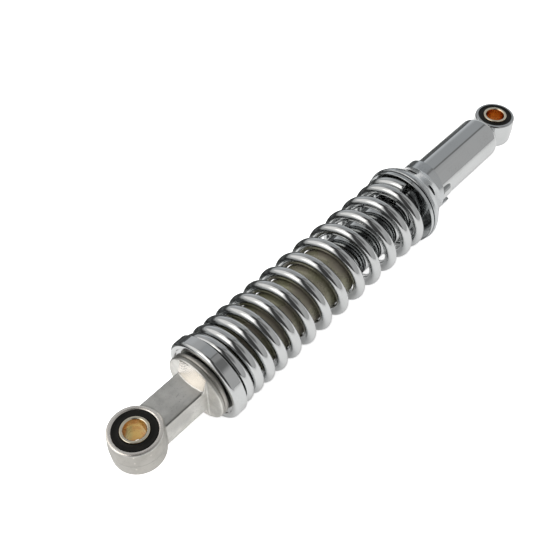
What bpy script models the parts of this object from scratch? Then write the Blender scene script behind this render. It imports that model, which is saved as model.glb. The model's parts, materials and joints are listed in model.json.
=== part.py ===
"""Rear shock absorber: a twin-tube damper inside a progressive coil spring.

The shock lies along +X with its two eye bores upright (along Z). A cast head carries the piston
rod, the spring retainer and the guide tube. The chromed body tube holds the damper and ends in
the tail eye. A cam collar on the body tube sets the spring's preload through the spring seat.

Axial places are stations: millimetres along the shock's axis from the centre of the head eye.
Turned profiles are lists of (station, radius). The world origin is under the middle of the
shock's box, on the surface that it lies on.
"""

import math

import bmesh
import bpy
from mathutils import Vector

MM = 0.001

# Driving sizes, in millimetres and degrees ------------------------------------------------------

EYE_TO_EYE = 340.0           # centre of the head eye to the centre of the tail eye
GAP = 0.3                    # between two pieces that touch
SLIDE_FIT = 0.08             # radial clearance of a piece that slides in another

SLEEVE_BORE_R = 6.1          # bush sleeves, for 12 mm bolts
SLEEVE_WALL = 1.9
SLEEVE_PROUD = 0.7           # each end of a sleeve past its eye
RUBBER_DISH = 0.5            # each end of a rubber below its eye
EYE_DRAFT = 0.5              # an eye is fuller at its parting line than at its faces
EYE_EDGE = 0.8               # chamfer on an eye's outer edges

HEAD_RUBBER = 4.4            # cast head: room for the rubber around the sleeve
HEAD_EYE_WALL = 2.6
HEAD_EYE_WIDTH = 20.2
ARM_WIDTH = 20.0
ARM_THICKNESS = 18.4
ARM_EDGE_R = 1.2
BOSS_START = 36.5
BOSS_LENGTH = 10.7
BOSS_R = 20.6
SHOULDER_LENGTH = 6.4
SPIGOT_R = 14.4
SPIGOT_LENGTH = 8.8
ROD_SOCKET_DEPTH = 13.0

TAIL_RUBBER = 3.6            # welded tail eye
TAIL_EYE_WALL = 2.0
TAIL_EYE_WIDTH = 18.0
NECK_R = 8.0
NECK_GROOVE = 1.3

ROD_R = 6.0                  # radial stack, from the rod outwards
PISTON_LAND = 3.6            # rod to the outside of the piston
PISTON_PLAY = 0.4
CYLINDER_WALL = 1.4
OIL_RESERVE = 2.1            # oil room around the inner cylinder
BODY_WALL = 1.6
GUIDE_PLAY = 1.2             # body tube to guide tube
GUIDE_WALL = 1.2
COIL_PLAY = 0.4              # guide tube to spring
WIRE_R = 3.6
RETAINER_WALL = 1.0
SEAT_WALL = 0.7
COLLAR_PROUD = 0.7           # collar's flange past the seat

COIL_TURNS = 13.55           # spring
CLOSED_TURNS = 0.9           # close turn at each end
RAMP_TURNS = 6.7             # turns over which the pitch opens
CLOSE_PLAY = 0.4             # between the wires of a close turn
COIL_START_ANGLE = 261.0     # degrees about +X, from +Y

RETAINER_FLOOR = 2.0         # chromed spring retainer
RETAINER_DEPTH = 8.1

GUIDE_FLANGE = 1.2           # guide tube over the damper
GUIDE_LIP = 5.5              # flange past the tube
GUIDE_END_GAP = 2.6          # guide tube to the raised seat, at full stroke

BODY_START = 137.0           # chromed body tube
BODY_END_FLOOR = 3.0
BODY_TO_TAIL_EYE = 15.3      # end of the body to the centre of the tail eye
TAIL_SHOULDER = 5.8
TAIL_ROUNDING = 5.5          # body's outside to the flat of its tail end

SEAT_STATION = 230.0         # back face of the spring seat, softest setting
SEAT_FLOOR = 1.2
SEAT_DEPTH = 2.8
BODY_SLIDE_GAP = 0.5         # seat and collar over the body tube

COLLAR_FLANGE = 2.6          # cam collar
COLLAR_SHEET = 1.8
COLLAR_FLARE = 16.6
COLLAR_WALL = 2.2
COLLAR_BLEND = 2.0           # rounding where the flare meets the sleeve
COLLAR_HOLES = 8
COLLAR_HOLE_LENGTH = 8.0     # around the collar
COLLAR_HOLE_WIDTH = 4.8      # along the flare
COLLAR_HOLE_PHASE = 40.5
COLLAR_HOLE_PLACE = 0.37     # share of the flare from the flange to the holes
CAM_SLEEVE = 3.1             # end of the flare to the lowest place on the cam edge
CAM_LIFT_PER_RAD = 3.0
CAM_SWING = 120.0            # turn from the softest to the hardest setting
CAM_RUN_IN = 20.0            # ramp beyond the lug at either end
CAM_PERIOD = 180.0

LUG_ANGLE = 170.0            # first lug about +X, from +Y; the second is opposite
LUG_SPAN = 22.0              # degrees around the tube
LUG_LENGTH = 10.8
LUG_HEIGHT = 2.6

ROD_TAIL = 0.8               # damper inside: rod past the piston nut
LOCKNUT_WALL = 3.5
LOCKNUT_LENGTH = 5.5
BUMP_WALL = 6.5
BUMP_TIP_WALL = 3.5
STROKE = 60.0
GLAND_LENGTH = 5.0
SEAL_LENGTH = 5.0
ROD_GUIDE_LENGTH = 10.0
GUIDE_SPIGOT = 2.0           # rod guide and base valve into the inner cylinder
BUFFER_LENGTH = 3.5
PISTON_LENGTH = 10.0
RING_WIDTH = 4.0
RING_DEPTH = 1.6
PISTON_NUT_WALL = 1.5
PISTON_NUT_LENGTH = 5.0
BASE_VALVE_LENGTH = 8.0

BIG, MEDIUM, SMALL = 48, 36, 28   # sides of the turned pieces

# Dependent radii --------------------------------------------------------------------------------

SLEEVE_R = SLEEVE_BORE_R + SLEEVE_WALL
HEAD_BORE_R = SLEEVE_R + HEAD_RUBBER
HEAD_EYE_R = HEAD_BORE_R + HEAD_EYE_WALL
TAIL_BORE_R = SLEEVE_R + TAIL_RUBBER
TAIL_EYE_R = TAIL_BORE_R + TAIL_EYE_WALL
LOCKNUT_R = ROD_R + LOCKNUT_WALL
PISTON_NUT_R = ROD_R + PISTON_NUT_WALL
BUMP_R = ROD_R + BUMP_WALL
BUMP_TIP_R = ROD_R + BUMP_TIP_WALL
PISTON_R = ROD_R + PISTON_LAND
CYLINDER_BORE_R = PISTON_R + PISTON_PLAY
CYLINDER_R = CYLINDER_BORE_R + CYLINDER_WALL
BODY_BORE_R = CYLINDER_R + OIL_RESERVE
BODY_R = BODY_BORE_R + BODY_WALL
TAIL_SHOULDER_R = BODY_R - TAIL_ROUNDING
GUIDE_R = BODY_R + GUIDE_PLAY + GUIDE_WALL
GUIDE_FLANGE_R = GUIDE_R + GUIDE_LIP
COIL_MEAN_R = GUIDE_R + COIL_PLAY + WIRE_R
COIL_OUTER_R = COIL_MEAN_R + WIRE_R
RETAINER_R = COIL_OUTER_R + GAP + RETAINER_WALL
SEAT_R = COIL_OUTER_R + GAP + SEAT_WALL
COLLAR_FLANGE_R = SEAT_R + COLLAR_PROUD
COLLAR_BORE_R = BODY_R + BODY_SLIDE_GAP
COLLAR_R = COLLAR_BORE_R + COLLAR_WALL

# Dependent places -------------------------------------------------------------------------------

BODY_END = EYE_TO_EYE - BODY_TO_TAIL_EYE
BOSS_END = BOSS_START + BOSS_LENGTH
SPIGOT_END = BOSS_END + SPIGOT_LENGTH
RETAINER_START = BOSS_END + GAP
RETAINER_INNER = RETAINER_START + RETAINER_FLOOR
SEAT_FLOOR_FACE = SEAT_STATION - SEAT_FLOOR
SEAT_LIFT = CAM_LIFT_PER_RAD * math.radians(CAM_SWING)
GUIDE_START = RETAINER_INNER + GAP
GUIDE_END = SEAT_STATION - SEAT_DEPTH - SEAT_LIFT - STROKE - GUIDE_END_GAP
COIL_FIRST = GUIDE_START + GUIDE_FLANGE + GAP + WIRE_R
COIL_LAST = SEAT_FLOOR_FACE - GAP - WIRE_R
COLLAR_START = SEAT_STATION + GAP
CAM_LOW = COLLAR_START + COLLAR_FLANGE + COLLAR_FLARE + CAM_SLEEVE
LOCKNUT_START = SPIGOT_END + GAP
LOCKNUT_END = LOCKNUT_START + LOCKNUT_LENGTH
BUMP_START = LOCKNUT_END + GAP
BUMP_END = BODY_START - STROKE - 2.0 * GAP
GLAND_START = BODY_START + GAP
SEAL_START = GLAND_START + GLAND_LENGTH + GAP
ROD_GUIDE_START = SEAL_START + SEAL_LENGTH + GAP
CYLINDER_START = ROD_GUIDE_START + ROD_GUIDE_LENGTH + GAP
BODY_FLOOR = BODY_END - BODY_END_FLOOR
BASE_VALVE_END = BODY_FLOOR - TAIL_SHOULDER
BASE_VALVE_START = BASE_VALVE_END - BASE_VALVE_LENGTH
CYLINDER_END = BASE_VALVE_START - GAP
BUFFER_START = ROD_GUIDE_START + ROD_GUIDE_LENGTH + GUIDE_SPIGOT + GAP
BUFFER_END = BUFFER_START + BUFFER_LENGTH
PISTON_START = BUFFER_END + GAP
PISTON_END = PISTON_START + PISTON_LENGTH
PISTON_NUT_START = PISTON_END + GAP
PISTON_NUT_END = PISTON_NUT_START + PISTON_NUT_LENGTH
ROD_END = PISTON_NUT_END + ROD_TAIL
HEAD_EYE_X = -(EYE_TO_EYE + TAIL_EYE_R - HEAD_EYE_R) / 2.0
AXIS_Z = COLLAR_FLANGE_R * math.cos(math.pi / BIG)


# Modelling helpers ------------------------------------------------------------------------------

def clear_scene():
    """Remove every object that the file holds."""
    for obj in list(bpy.data.objects):
        bpy.data.objects.remove(obj, do_unlink=True)


def finish(name, color, roughness, metallic):
    """Make one Principled material."""
    material = bpy.data.materials.new(name)
    material.use_nodes = True
    shader = material.node_tree.nodes["Principled BSDF"]
    shader.inputs["Base Color"].default_value = (*color, 1.0)
    shader.inputs["Roughness"].default_value = roughness
    shader.inputs["Metallic"].default_value = metallic
    return material


def empty(name, parent=None, station=0.0, location=None):
    """Add an empty on the shock's axis, as the parent of one moving group."""
    obj = bpy.data.objects.new(name, None)
    obj.location = location if location else (station * MM, 0.0, 0.0)
    obj.parent = parent
    bpy.context.collection.objects.link(obj)
    return obj


def add_object(name, bm, parent, material=None, sharp_angle=32.0):
    """Turn a bmesh into a parented object, smooth but for its sharp edges."""
    bmesh.ops.recalc_face_normals(bm, faces=bm.faces)
    mesh = bpy.data.meshes.new(name)
    bm.to_mesh(mesh)
    bm.free()
    mesh.shade_smooth()
    mesh.set_sharp_from_angle(angle=math.radians(sharp_angle))
    obj = bpy.data.objects.new(name, mesh)
    obj.parent = parent
    bpy.context.collection.objects.link(obj)
    if material:
        mesh.materials.append(material)
    return obj


def spin_profile(profile, sides, closed=True):
    """Spin an outline of (station, radius) about the X axis and return the bmesh."""
    bm = bmesh.new()
    half_side = math.pi / sides
    direction = Vector((0.0, math.cos(half_side), math.sin(half_side)))
    points = []
    for station, radius in profile:
        points.append(bm.verts.new(Vector((station, 0.0, 0.0)) * MM + direction * (radius * MM)))
    edges = [bm.edges.new(pair) for pair in zip(points, points[1:])]
    if closed:
        edges.append(bm.edges.new((points[-1], points[0])))
    bmesh.ops.spin(bm, geom=points + edges, cent=(0.0, 0.0, 0.0), axis=(1.0, 0.0, 0.0),
                   angle=2.0 * math.pi, steps=sides, use_merge=True, use_duplicate=False)
    bmesh.ops.remove_doubles(bm, verts=bm.verts, dist=1e-6)
    return bm


def turned(name, profile, parent, material, sides=SMALL, solid=False):
    """Make a turned piece: a ring from a closed outline, or a solid whose ends lie on the axis."""
    bm = spin_profile(profile, sides, closed=not solid)
    return add_object(name, bm, parent, material)


def upright_cylinder(name, radius, height, parent, station=0.0, sides=MEDIUM, material=None):
    """Add a cylinder whose axis is upright, centred on the shock's axis."""
    bm = bmesh.new()
    bmesh.ops.create_cone(bm, cap_ends=True, segments=sides, radius1=radius * MM,
                          radius2=radius * MM, depth=height * MM)
    bmesh.ops.translate(bm, verts=bm.verts, vec=(station * MM, 0.0, 0.0))
    return add_object(name, bm, parent, material)


def upright_eye(name, radius, width, parent, station=0.0, sides=BIG):
    """Add the outside of an eye: an upright drum with chamfered edges, fuller at mid height."""
    half = width / 2.0
    outline = [(0.0, half), (radius - EYE_EDGE, half), (radius, half - EYE_EDGE),
               (radius + EYE_DRAFT, 0.0), (radius, EYE_EDGE - half), (radius - EYE_EDGE, -half),
               (0.0, -half)]
    bm = bmesh.new()
    points = [bm.verts.new((r * MM, 0.0, z * MM)) for r, z in outline]
    edges = [bm.edges.new(pair) for pair in zip(points, points[1:])]
    bmesh.ops.spin(bm, geom=points + edges, cent=(0.0, 0.0, 0.0), axis=(0.0, 0.0, 1.0),
                   angle=2.0 * math.pi, steps=sides, use_merge=True, use_duplicate=False)
    bmesh.ops.remove_doubles(bm, verts=bm.verts, dist=1e-6)
    bmesh.ops.translate(bm, verts=bm.verts, vec=(station * MM, 0.0, 0.0))
    return add_object(name, bm, parent)


def upright_ring(name, outer, inner, height, parent, material, dish=0.0, sides=MEDIUM):
    """Add an upright ring; dish lowers the middle of its end faces."""
    bm = bmesh.new()
    half = height / 2.0
    outline = [(outer, half), (inner, half), (inner, -half), (outer, -half)]
    if dish > 0.0:
        middle = (outer + inner) / 2.0
        outline.insert(1, (middle, half - dish))
        outline.insert(4, (middle, dish - half))
    points = [bm.verts.new((radius * MM, 0.0, z * MM)) for radius, z in outline]
    edges = [bm.edges.new(pair) for pair in zip(points, points[1:] + points[:1])]
    bmesh.ops.spin(bm, geom=points + edges, cent=(0.0, 0.0, 0.0), axis=(0.0, 0.0, 1.0),
                   angle=2.0 * math.pi, steps=sides, use_merge=True, use_duplicate=False)
    bmesh.ops.remove_doubles(bm, verts=bm.verts, dist=1e-6)
    return add_object(name, bm, parent, material)


def box(name, low, high, parent, bevel=0.0, bevel_axis=0):
    """Add a box between two corners in millimetres; bevel rounds the edges along one axis."""
    bm = bmesh.new()
    bmesh.ops.create_cube(bm, size=1.0)
    size = [(top - bottom) * MM for bottom, top in zip(low, high)]
    centre = [(top + bottom) / 2.0 * MM for bottom, top in zip(low, high)]
    bmesh.ops.scale(bm, verts=bm.verts, vec=size)
    bmesh.ops.translate(bm, verts=bm.verts, vec=centre)
    if bevel > 0.0:
        along = [edge for edge in bm.edges
                 if abs((edge.verts[0].co - edge.verts[1].co).normalized()[bevel_axis]) > 0.9]
        bmesh.ops.bevel(bm, geom=along, offset=bevel * MM, segments=2, profile=0.5,
                        affect="EDGES")
    return add_object(name, bm, parent)


def wedge(name, points, half_width, parent):
    """Extrude an outline of (station, height) sideways by half_width each way."""
    bm = bmesh.new()
    corners = [bm.verts.new((station * MM, -half_width * MM, z * MM)) for station, z in points]
    face = bm.faces.new(corners)
    grown = bmesh.ops.extrude_face_region(bm, geom=[face])
    moved = [item for item in grown["geom"] if isinstance(item, bmesh.types.BMVert)]
    bmesh.ops.translate(bm, verts=moved, vec=(0.0, 2.0 * half_width * MM, 0.0))
    return add_object(name, bm, parent)


def combine(target, tool, operation):
    """Put a Boolean on target and hide its tool."""
    tool.hide_render = True
    tool.display_type = "WIRE"
    modifier = target.modifiers.new(tool.name, "BOOLEAN")
    modifier.object = tool
    modifier.operation = operation
    modifier.solver = "EXACT"


def on_tube(angle, radius, station):
    """Give the place at an angle about +X, measured from +Y towards +Z, in metres."""
    turn = math.radians(angle)
    return Vector((station, radius * math.cos(turn), radius * math.sin(turn))) * MM


# Spring -----------------------------------------------------------------------------------------

def opened(turn):
    """Give how far the pitch has opened at a turn: 0 is close, 1 is fully open."""
    into = turn - CLOSED_TURNS
    left = COIL_TURNS - CLOSED_TURNS - turn
    return max(0.0, min(1.0, into / RAMP_TURNS, 2.0 * left))


def coil_stations(turns_per_step):
    """Give (turn, station) along the wire, with the pitch law stretched to fill the seats."""
    steps = int(round(COIL_TURNS / turns_per_step))
    turns = [COIL_TURNS * index / steps for index in range(steps + 1)]
    extra = [0.0]
    for first, second in zip(turns, turns[1:]):
        extra.append(extra[-1] + opened((first + second) / 2.0) * (second - first))
    close_pitch = 2.0 * WIRE_R + CLOSE_PLAY
    more_pitch = (COIL_LAST - COIL_FIRST - close_pitch * COIL_TURNS) / extra[-1]
    return [(turn, COIL_FIRST + close_pitch * turn + more_pitch * more)
            for turn, more in zip(turns, extra)]


def coil_spring(parent, material):
    """Make the spring as one wire with a round section and flat cut ends."""
    curve = bpy.data.curves.new("coil_spring", "CURVE")
    curve.dimensions = "3D"
    curve.bevel_depth = WIRE_R * MM
    curve.bevel_resolution = 1
    curve.use_fill_caps = True
    curve.twist_mode = "MINIMUM"
    spline = curve.splines.new("POLY")
    places = coil_stations(1.0 / 24.0)
    spline.points.add(len(places) - 1)
    for point, (turn, station) in zip(spline.points, places):
        angle = COIL_START_ANGLE + 360.0 * turn
        point.co = (*on_tube(angle, COIL_MEAN_R, station), 1.0)
    curve.materials.append(material)
    obj = bpy.data.objects.new("coil_spring", curve)
    obj.parent = parent
    bpy.context.collection.objects.link(obj)


# Head -------------------------------------------------------------------------------------------

def head_casting(parent, material):
    """Make the cast head: an eye, a flat arm and a stepped round boss with a rod socket."""
    corner_r = math.hypot(ARM_WIDTH, ARM_THICKNESS) / 2.0
    rim = BOSS_START + SHOULDER_LENGTH
    profile = [
        (BOSS_START, 0.0),
        (BOSS_START, corner_r - 3.0),
        (BOSS_START + 0.3 * SHOULDER_LENGTH, corner_r + 0.4),
        (BOSS_START + 0.6 * SHOULDER_LENGTH, (corner_r + BOSS_R) / 2.0 + 0.6),
        (rim, BOSS_R),
        (BOSS_END, BOSS_R),
        (BOSS_END, SPIGOT_R),
        (SPIGOT_END, SPIGOT_R),
        (SPIGOT_END, 0.0),
    ]
    casting = turned("head_casting", profile, parent, material, sides=BIG, solid=True)
    half_arm = ARM_THICKNESS / 2.0
    arm = box("head_arm_tool", (0.0, -ARM_WIDTH / 2.0, -half_arm),
              (BOSS_START + 1.5, ARM_WIDTH / 2.0, half_arm), parent, bevel=ARM_EDGE_R)
    eye = upright_eye("head_eye_tool", HEAD_EYE_R, HEAD_EYE_WIDTH, parent)
    combine(casting, arm, "UNION")
    combine(casting, eye, "UNION")
    for side, label in ((1.0, "top"), (-1.0, "bottom")):
        ramp = [(BOSS_START - 1.0, side * half_arm),
                (BOSS_START + 0.25, side * half_arm),
                (rim - 0.1, side * (BOSS_R - 1.6)),
                (rim - 0.1, side * (BOSS_R + 5.0)),
                (BOSS_START - 1.0, side * (BOSS_R + 5.0))]
        facet = wedge("head_facet_tool_" + label, ramp, ARM_WIDTH / 2.0, parent)
        combine(casting, facet, "DIFFERENCE")
    bore = upright_cylinder("head_bore_tool", HEAD_BORE_R, HEAD_EYE_WIDTH + 10.0, parent, sides=BIG)
    combine(casting, bore, "DIFFERENCE")
    socket_r = ROD_R + GAP
    socket = turned("head_socket_tool", [(SPIGOT_END - ROD_SOCKET_DEPTH, 0.0),
                                         (SPIGOT_END - ROD_SOCKET_DEPTH, socket_r),
                                         (SPIGOT_END + 5.0, socket_r),
                                         (SPIGOT_END + 5.0, 0.0)],
                    parent, None, sides=SMALL, solid=True)
    combine(casting, socket, "DIFFERENCE")


def spring_retainer(parent, material):
    """Make the chromed cup that holds the head end of the spring."""
    end = RETAINER_START + RETAINER_DEPTH
    inner_r = RETAINER_R - RETAINER_WALL
    turned("spring_retainer", [
        (RETAINER_START, SPIGOT_R + GAP),
        (RETAINER_START, RETAINER_R - 2.2),
        (RETAINER_START + 0.6, RETAINER_R - 0.8),
        (RETAINER_START + 1.8, RETAINER_R),
        (end - 0.3, RETAINER_R),
        (end, RETAINER_R - 0.3),
        (end, inner_r),
        (RETAINER_INNER, inner_r),
        (RETAINER_INNER, SPIGOT_R + GAP),
    ], parent, material, sides=BIG)


def guide_tube(parent, material):
    """Make the guide tube, whose flange the spring clamps against the retainer."""
    bore_r = GUIDE_R - GUIDE_WALL
    turned("guide_tube", [
        (GUIDE_START, bore_r),
        (GUIDE_START, GUIDE_FLANGE_R),
        (GUIDE_START + GUIDE_FLANGE, GUIDE_FLANGE_R),
        (GUIDE_START + GUIDE_FLANGE, GUIDE_R),
        (GUIDE_END - 0.4, GUIDE_R),
        (GUIDE_END, GUIDE_R - 0.4),
        (GUIDE_END, bore_r),
    ], parent, material, sides=MEDIUM)


def hex_nut(name, start, end, flat_r, hole_r, parent, material):
    """Make a hexagon nut on the rod: a twelve-sided ring with every second corner drawn out."""
    bm = spin_profile([(start, hole_r), (start, flat_r), (end, flat_r), (end, hole_r)], 12)
    for vert in bm.verts:
        if math.hypot(vert.co.y, vert.co.z) < (hole_r + 0.1) * MM:
            continue
        angle = math.degrees(math.atan2(vert.co.z, vert.co.y))
        if abs((angle - 15.0) % 60.0 - 30.0) < 1.0:
            vert.co.yz = vert.co.yz / math.cos(math.radians(30.0))
    add_object(name, bm, parent, material)


def round_ring(name, start, end, outer_r, inner_r, parent, material, chamfer=0.0, sides=SMALL):
    """Make a plain turned ring, with an outer chamfer at both ends."""
    profile = [(start, inner_r), (start, outer_r - chamfer)]
    if chamfer > 0.0:
        profile.append((start + chamfer, outer_r))
        profile.append((end - chamfer, outer_r))
    profile += [(end, outer_r - chamfer), (end, inner_r)]
    turned(name, profile, parent, material, sides=sides)


def rod_group(parent, steel, rubber, bronze):
    """Make everything that moves on the piston rod."""
    rod_start = SPIGOT_END - ROD_SOCKET_DEPTH + GAP
    turned("piston_rod", [(rod_start, 0.0), (rod_start, ROD_R - 0.6), (rod_start + 0.6, ROD_R),
                          (ROD_END - 0.6, ROD_R), (ROD_END, ROD_R - 0.6), (ROD_END, 0.0)],
           parent, steel, solid=True)
    hole_r = ROD_R + GAP
    hex_nut("rod_locknut", LOCKNUT_START, LOCKNUT_END, LOCKNUT_R, hole_r + 0.3, parent, steel)
    turned("bump_stop", [(BUMP_START, hole_r), (BUMP_START, BUMP_R),
                         ((BUMP_START + BUMP_END) / 2.0, BUMP_R - 0.6),
                         (BUMP_END, BUMP_TIP_R), (BUMP_END, hole_r)], parent, rubber)
    round_ring("rebound_buffer", BUFFER_START, BUFFER_END, PISTON_R - 1.0, hole_r, parent, rubber,
               chamfer=0.6)
    ring_start = (PISTON_START + PISTON_END - RING_WIDTH) / 2.0
    ring_end = ring_start + RING_WIDTH
    groove_r = PISTON_R - RING_DEPTH
    turned("piston", [(PISTON_START, hole_r), (PISTON_START, PISTON_R), (ring_start, PISTON_R),
                      (ring_start, groove_r), (ring_end, groove_r), (ring_end, PISTON_R),
                      (PISTON_END, PISTON_R), (PISTON_END, hole_r)], parent, steel)
    round_ring("piston_ring", ring_start + GAP, ring_end - GAP, CYLINDER_BORE_R - SLIDE_FIT,
               groove_r + GAP, parent, bronze)
    hex_nut("piston_nut", PISTON_NUT_START, PISTON_NUT_END, PISTON_NUT_R, hole_r + 0.3,
            parent, steel)


# Body -------------------------------------------------------------------------------------------

def body_tube(parent, material):
    """Make the chromed tube with its rounded tail shoulder and closed end."""
    shoulder = BODY_END - TAIL_SHOULDER
    bore = BODY_BORE_R
    profile = [(BODY_START, bore), (BODY_START, BODY_R - 0.4), (BODY_START + 0.4, BODY_R)]
    steps = 5
    for index in range(steps + 1):
        turn = math.radians(90.0) * index / steps
        radius = TAIL_SHOULDER_R + (BODY_R - TAIL_SHOULDER_R) * math.cos(turn)
        profile.append((shoulder + TAIL_SHOULDER * math.sin(turn), radius))
    profile += [(BODY_END, 0.0), (BODY_FLOOR, 0.0), (BODY_FLOOR, TAIL_SHOULDER_R - BODY_WALL),
                (shoulder, bore)]
    turned("body_tube", profile, parent, material, sides=BIG)


def tail_eye(parent, material):
    """Make the tail eye with its grooved neck, welded to the end of the body tube."""
    start = BODY_END + GAP
    groove = start + 1.4
    neck_end = EYE_TO_EYE - math.sqrt(TAIL_EYE_R ** 2 - NECK_R ** 2) + 1.0
    neck = turned("tail_eye", [(start, 0.0), (start, NECK_R), (groove - 0.9, NECK_R),
                               (groove, NECK_R - NECK_GROOVE), (groove + 0.9, NECK_R),
                               (neck_end, NECK_R), (neck_end, 0.0)],
                  parent, material, sides=MEDIUM, solid=True)
    eye = upright_eye("tail_eye_tool", TAIL_EYE_R, TAIL_EYE_WIDTH, parent, station=EYE_TO_EYE)
    bore = upright_cylinder("tail_bore_tool", TAIL_BORE_R, TAIL_EYE_WIDTH + 10.0, parent,
                            station=EYE_TO_EYE, sides=BIG)
    combine(neck, eye, "UNION")
    combine(neck, bore, "DIFFERENCE")


def lug(name, angle, parent, material):
    """Make one cam lug on the body tube; its cam face slopes with the cam edge."""
    inner = BODY_R + GAP
    front = CAM_LOW + GAP
    back = front + LUG_LENGTH
    steps = 4
    bm = bmesh.new()
    rows = []
    for index in range(steps + 1):
        offset = LUG_SPAN * (index / steps - 0.5)
        slope = -CAM_LIFT_PER_RAD * math.radians(offset)
        crown = math.cos(math.pi * (index / steps - 0.5))
        top = inner + LUG_HEIGHT * (0.55 + 0.45 * crown)
        section = [(front + slope, inner), (front + slope, top - 0.3), (front + slope + 0.8, top),
                   (back - 2.5, top), (back, inner + 0.6), (back, inner)]
        rows.append([bm.verts.new(on_tube(angle + offset, radius, station))
                     for station, radius in section])
    count = len(rows[0])
    for first, second in zip(rows, rows[1:]):
        for index in range(count):
            after = (index + 1) % count
            bm.faces.new((first[index], first[after], second[after], second[index]))
    bm.faces.new(rows[0])
    bm.faces.new(list(reversed(rows[-1])))
    add_object(name, bm, parent, material)


def damper_inside(parent, steel, rubber, bronze):
    """Make the fixed damper parts inside the body tube."""
    outer = BODY_BORE_R - GAP
    rod_hole = ROD_R + SLIDE_FIT
    round_ring("gland_nut", GLAND_START, GLAND_START + GLAND_LENGTH, outer, ROD_R + 1.0, parent,
               steel, chamfer=0.5)
    turned("oil_seal", [(SEAL_START, ROD_R + 0.9), (SEAL_START, outer),
                        (SEAL_START + SEAL_LENGTH, outer), (SEAL_START + SEAL_LENGTH, ROD_R + 1.6),
                        (SEAL_START + SEAL_LENGTH / 2.0, rod_hole)], parent, rubber)
    spigot = CYLINDER_BORE_R - GAP
    guide_end = ROD_GUIDE_START + ROD_GUIDE_LENGTH
    turned("rod_guide", [(ROD_GUIDE_START, rod_hole), (ROD_GUIDE_START, outer), (guide_end, outer),
                         (guide_end, spigot), (guide_end + GUIDE_SPIGOT, spigot),
                         (guide_end + GUIDE_SPIGOT, rod_hole)], parent, bronze)
    round_ring("inner_cylinder", CYLINDER_START, CYLINDER_END, CYLINDER_R, CYLINDER_BORE_R, parent,
               steel)
    valve_tip = BASE_VALVE_START - GUIDE_SPIGOT
    turned("base_valve", [(valve_tip, 0.0), (valve_tip, spigot),
                          (BASE_VALVE_START, spigot), (BASE_VALVE_START, CYLINDER_R),
                          (BASE_VALVE_END - 3.0, CYLINDER_R), (BASE_VALVE_END, CYLINDER_R - 3.0),
                          (BASE_VALVE_END, 0.0)], parent, bronze, solid=True)


# Preload ----------------------------------------------------------------------------------------

def spring_seat(parent, material):
    """Make the seat cup around the tail end of the spring."""
    start = SEAT_STATION - SEAT_DEPTH
    hole_r = COLLAR_BORE_R
    inner_r = SEAT_R - SEAT_WALL
    turned("spring_seat", [
        (start, inner_r + 0.15),
        (start + 0.15, SEAT_R - 0.15),
        (start + 0.6, SEAT_R),
        (SEAT_STATION - 0.6, SEAT_R),
        (SEAT_STATION, SEAT_R - 0.6),
        (SEAT_STATION, hole_r),
        (SEAT_FLOOR_FACE, hole_r),
        (SEAT_FLOOR_FACE, inner_r),
    ], parent, material, sides=BIG)


def cam_edge(angle):
    """Give the station of the collar's free edge at an angle about +X, softest setting.

    The ramp climbs as the angle falls away from a lug, so that turning the collar by the
    right-hand rule about +X lifts it off the lug. A stop tooth closes each half turn.
    """
    ahead = (LUG_ANGLE - angle + CAM_RUN_IN) % CAM_PERIOD - CAM_RUN_IN
    ramp_end = CAM_SWING + CAM_RUN_IN
    height = CAM_LIFT_PER_RAD * math.radians(min(ahead, ramp_end))
    return CAM_LOW + height


def adjuster_collar(parent, material):
    """Make the flared cam collar with its spanner holes."""
    start = COLLAR_START
    flare_start = start + COLLAR_FLANGE
    flare_end = flare_start + COLLAR_FLARE
    bore = COLLAR_BORE_R
    flare_inner = COLLAR_FLANGE_R - 1.4 * COLLAR_SHEET
    slope = (COLLAR_FLANGE_R - COLLAR_R) / COLLAR_FLARE
    profile = [
        (start, flare_inner),
        (start, COLLAR_FLANGE_R - 0.5),
        (start + 0.5, COLLAR_FLANGE_R),
        (flare_start, COLLAR_FLANGE_R),
        (flare_end - COLLAR_BLEND, COLLAR_R + 0.7 * slope * COLLAR_BLEND),
        (flare_end + 0.4 * COLLAR_BLEND, COLLAR_R),
        (CAM_LOW, COLLAR_R),
        (CAM_LOW, bore),
        (flare_end - COLLAR_SHEET, bore),
        (flare_start - 0.5, flare_inner - 0.6),
    ]
    bm = spin_profile(profile, BIG)
    for vert in bm.verts:
        if abs(vert.co.x - CAM_LOW * MM) < 1e-6:
            angle = math.degrees(math.atan2(vert.co.z, vert.co.y))
            vert.co.x = cam_edge(angle) * MM
    collar = add_object("adjuster_collar", bm, parent, material)
    hole_station = flare_start + COLLAR_HOLE_PLACE * COLLAR_FLARE
    hole_r = COLLAR_FLANGE_R - slope * (hole_station - flare_start) - COLLAR_SHEET / 2.0
    drill = bmesh.new()
    for index in range(COLLAR_HOLES):
        angle = COLLAR_HOLE_PHASE + 360.0 * index / COLLAR_HOLES
        made = bmesh.ops.create_cone(drill, cap_ends=True, segments=12, radius1=0.5 * MM,
                                     radius2=0.5 * MM, depth=6.0 * MM)
        outward = on_tube(angle, 1.0, slope).normalized()
        around = on_tube(angle + 90.0, 1.0, 0.0).normalized()
        along = around.cross(outward)
        centre = on_tube(angle, hole_r, hole_station)
        for vert in made["verts"]:
            vert.co = (centre + outward * vert.co.z + around * (vert.co.x * COLLAR_HOLE_LENGTH)
                       + along * (vert.co.y * COLLAR_HOLE_WIDTH))
    holes = add_object("collar_holes_tool", drill, parent)
    combine(collar, holes, "DIFFERENCE")


# Bushes -----------------------------------------------------------------------------------------

def bush(end, width, bore_r, rubber_parent, sleeve_parent, rubber, zinc):
    """Make one eye's rubber and its steel sleeve, both centred on the parents' origin."""
    upright_ring(end + "_bush_rubber", bore_r - GAP, SLEEVE_R + GAP, width, rubber_parent, rubber,
                 dish=RUBBER_DISH)
    upright_ring(end + "_bush_sleeve", SLEEVE_R, SLEEVE_BORE_R, width + 2.0 * SLEEVE_PROUD,
                 sleeve_parent, zinc)


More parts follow.
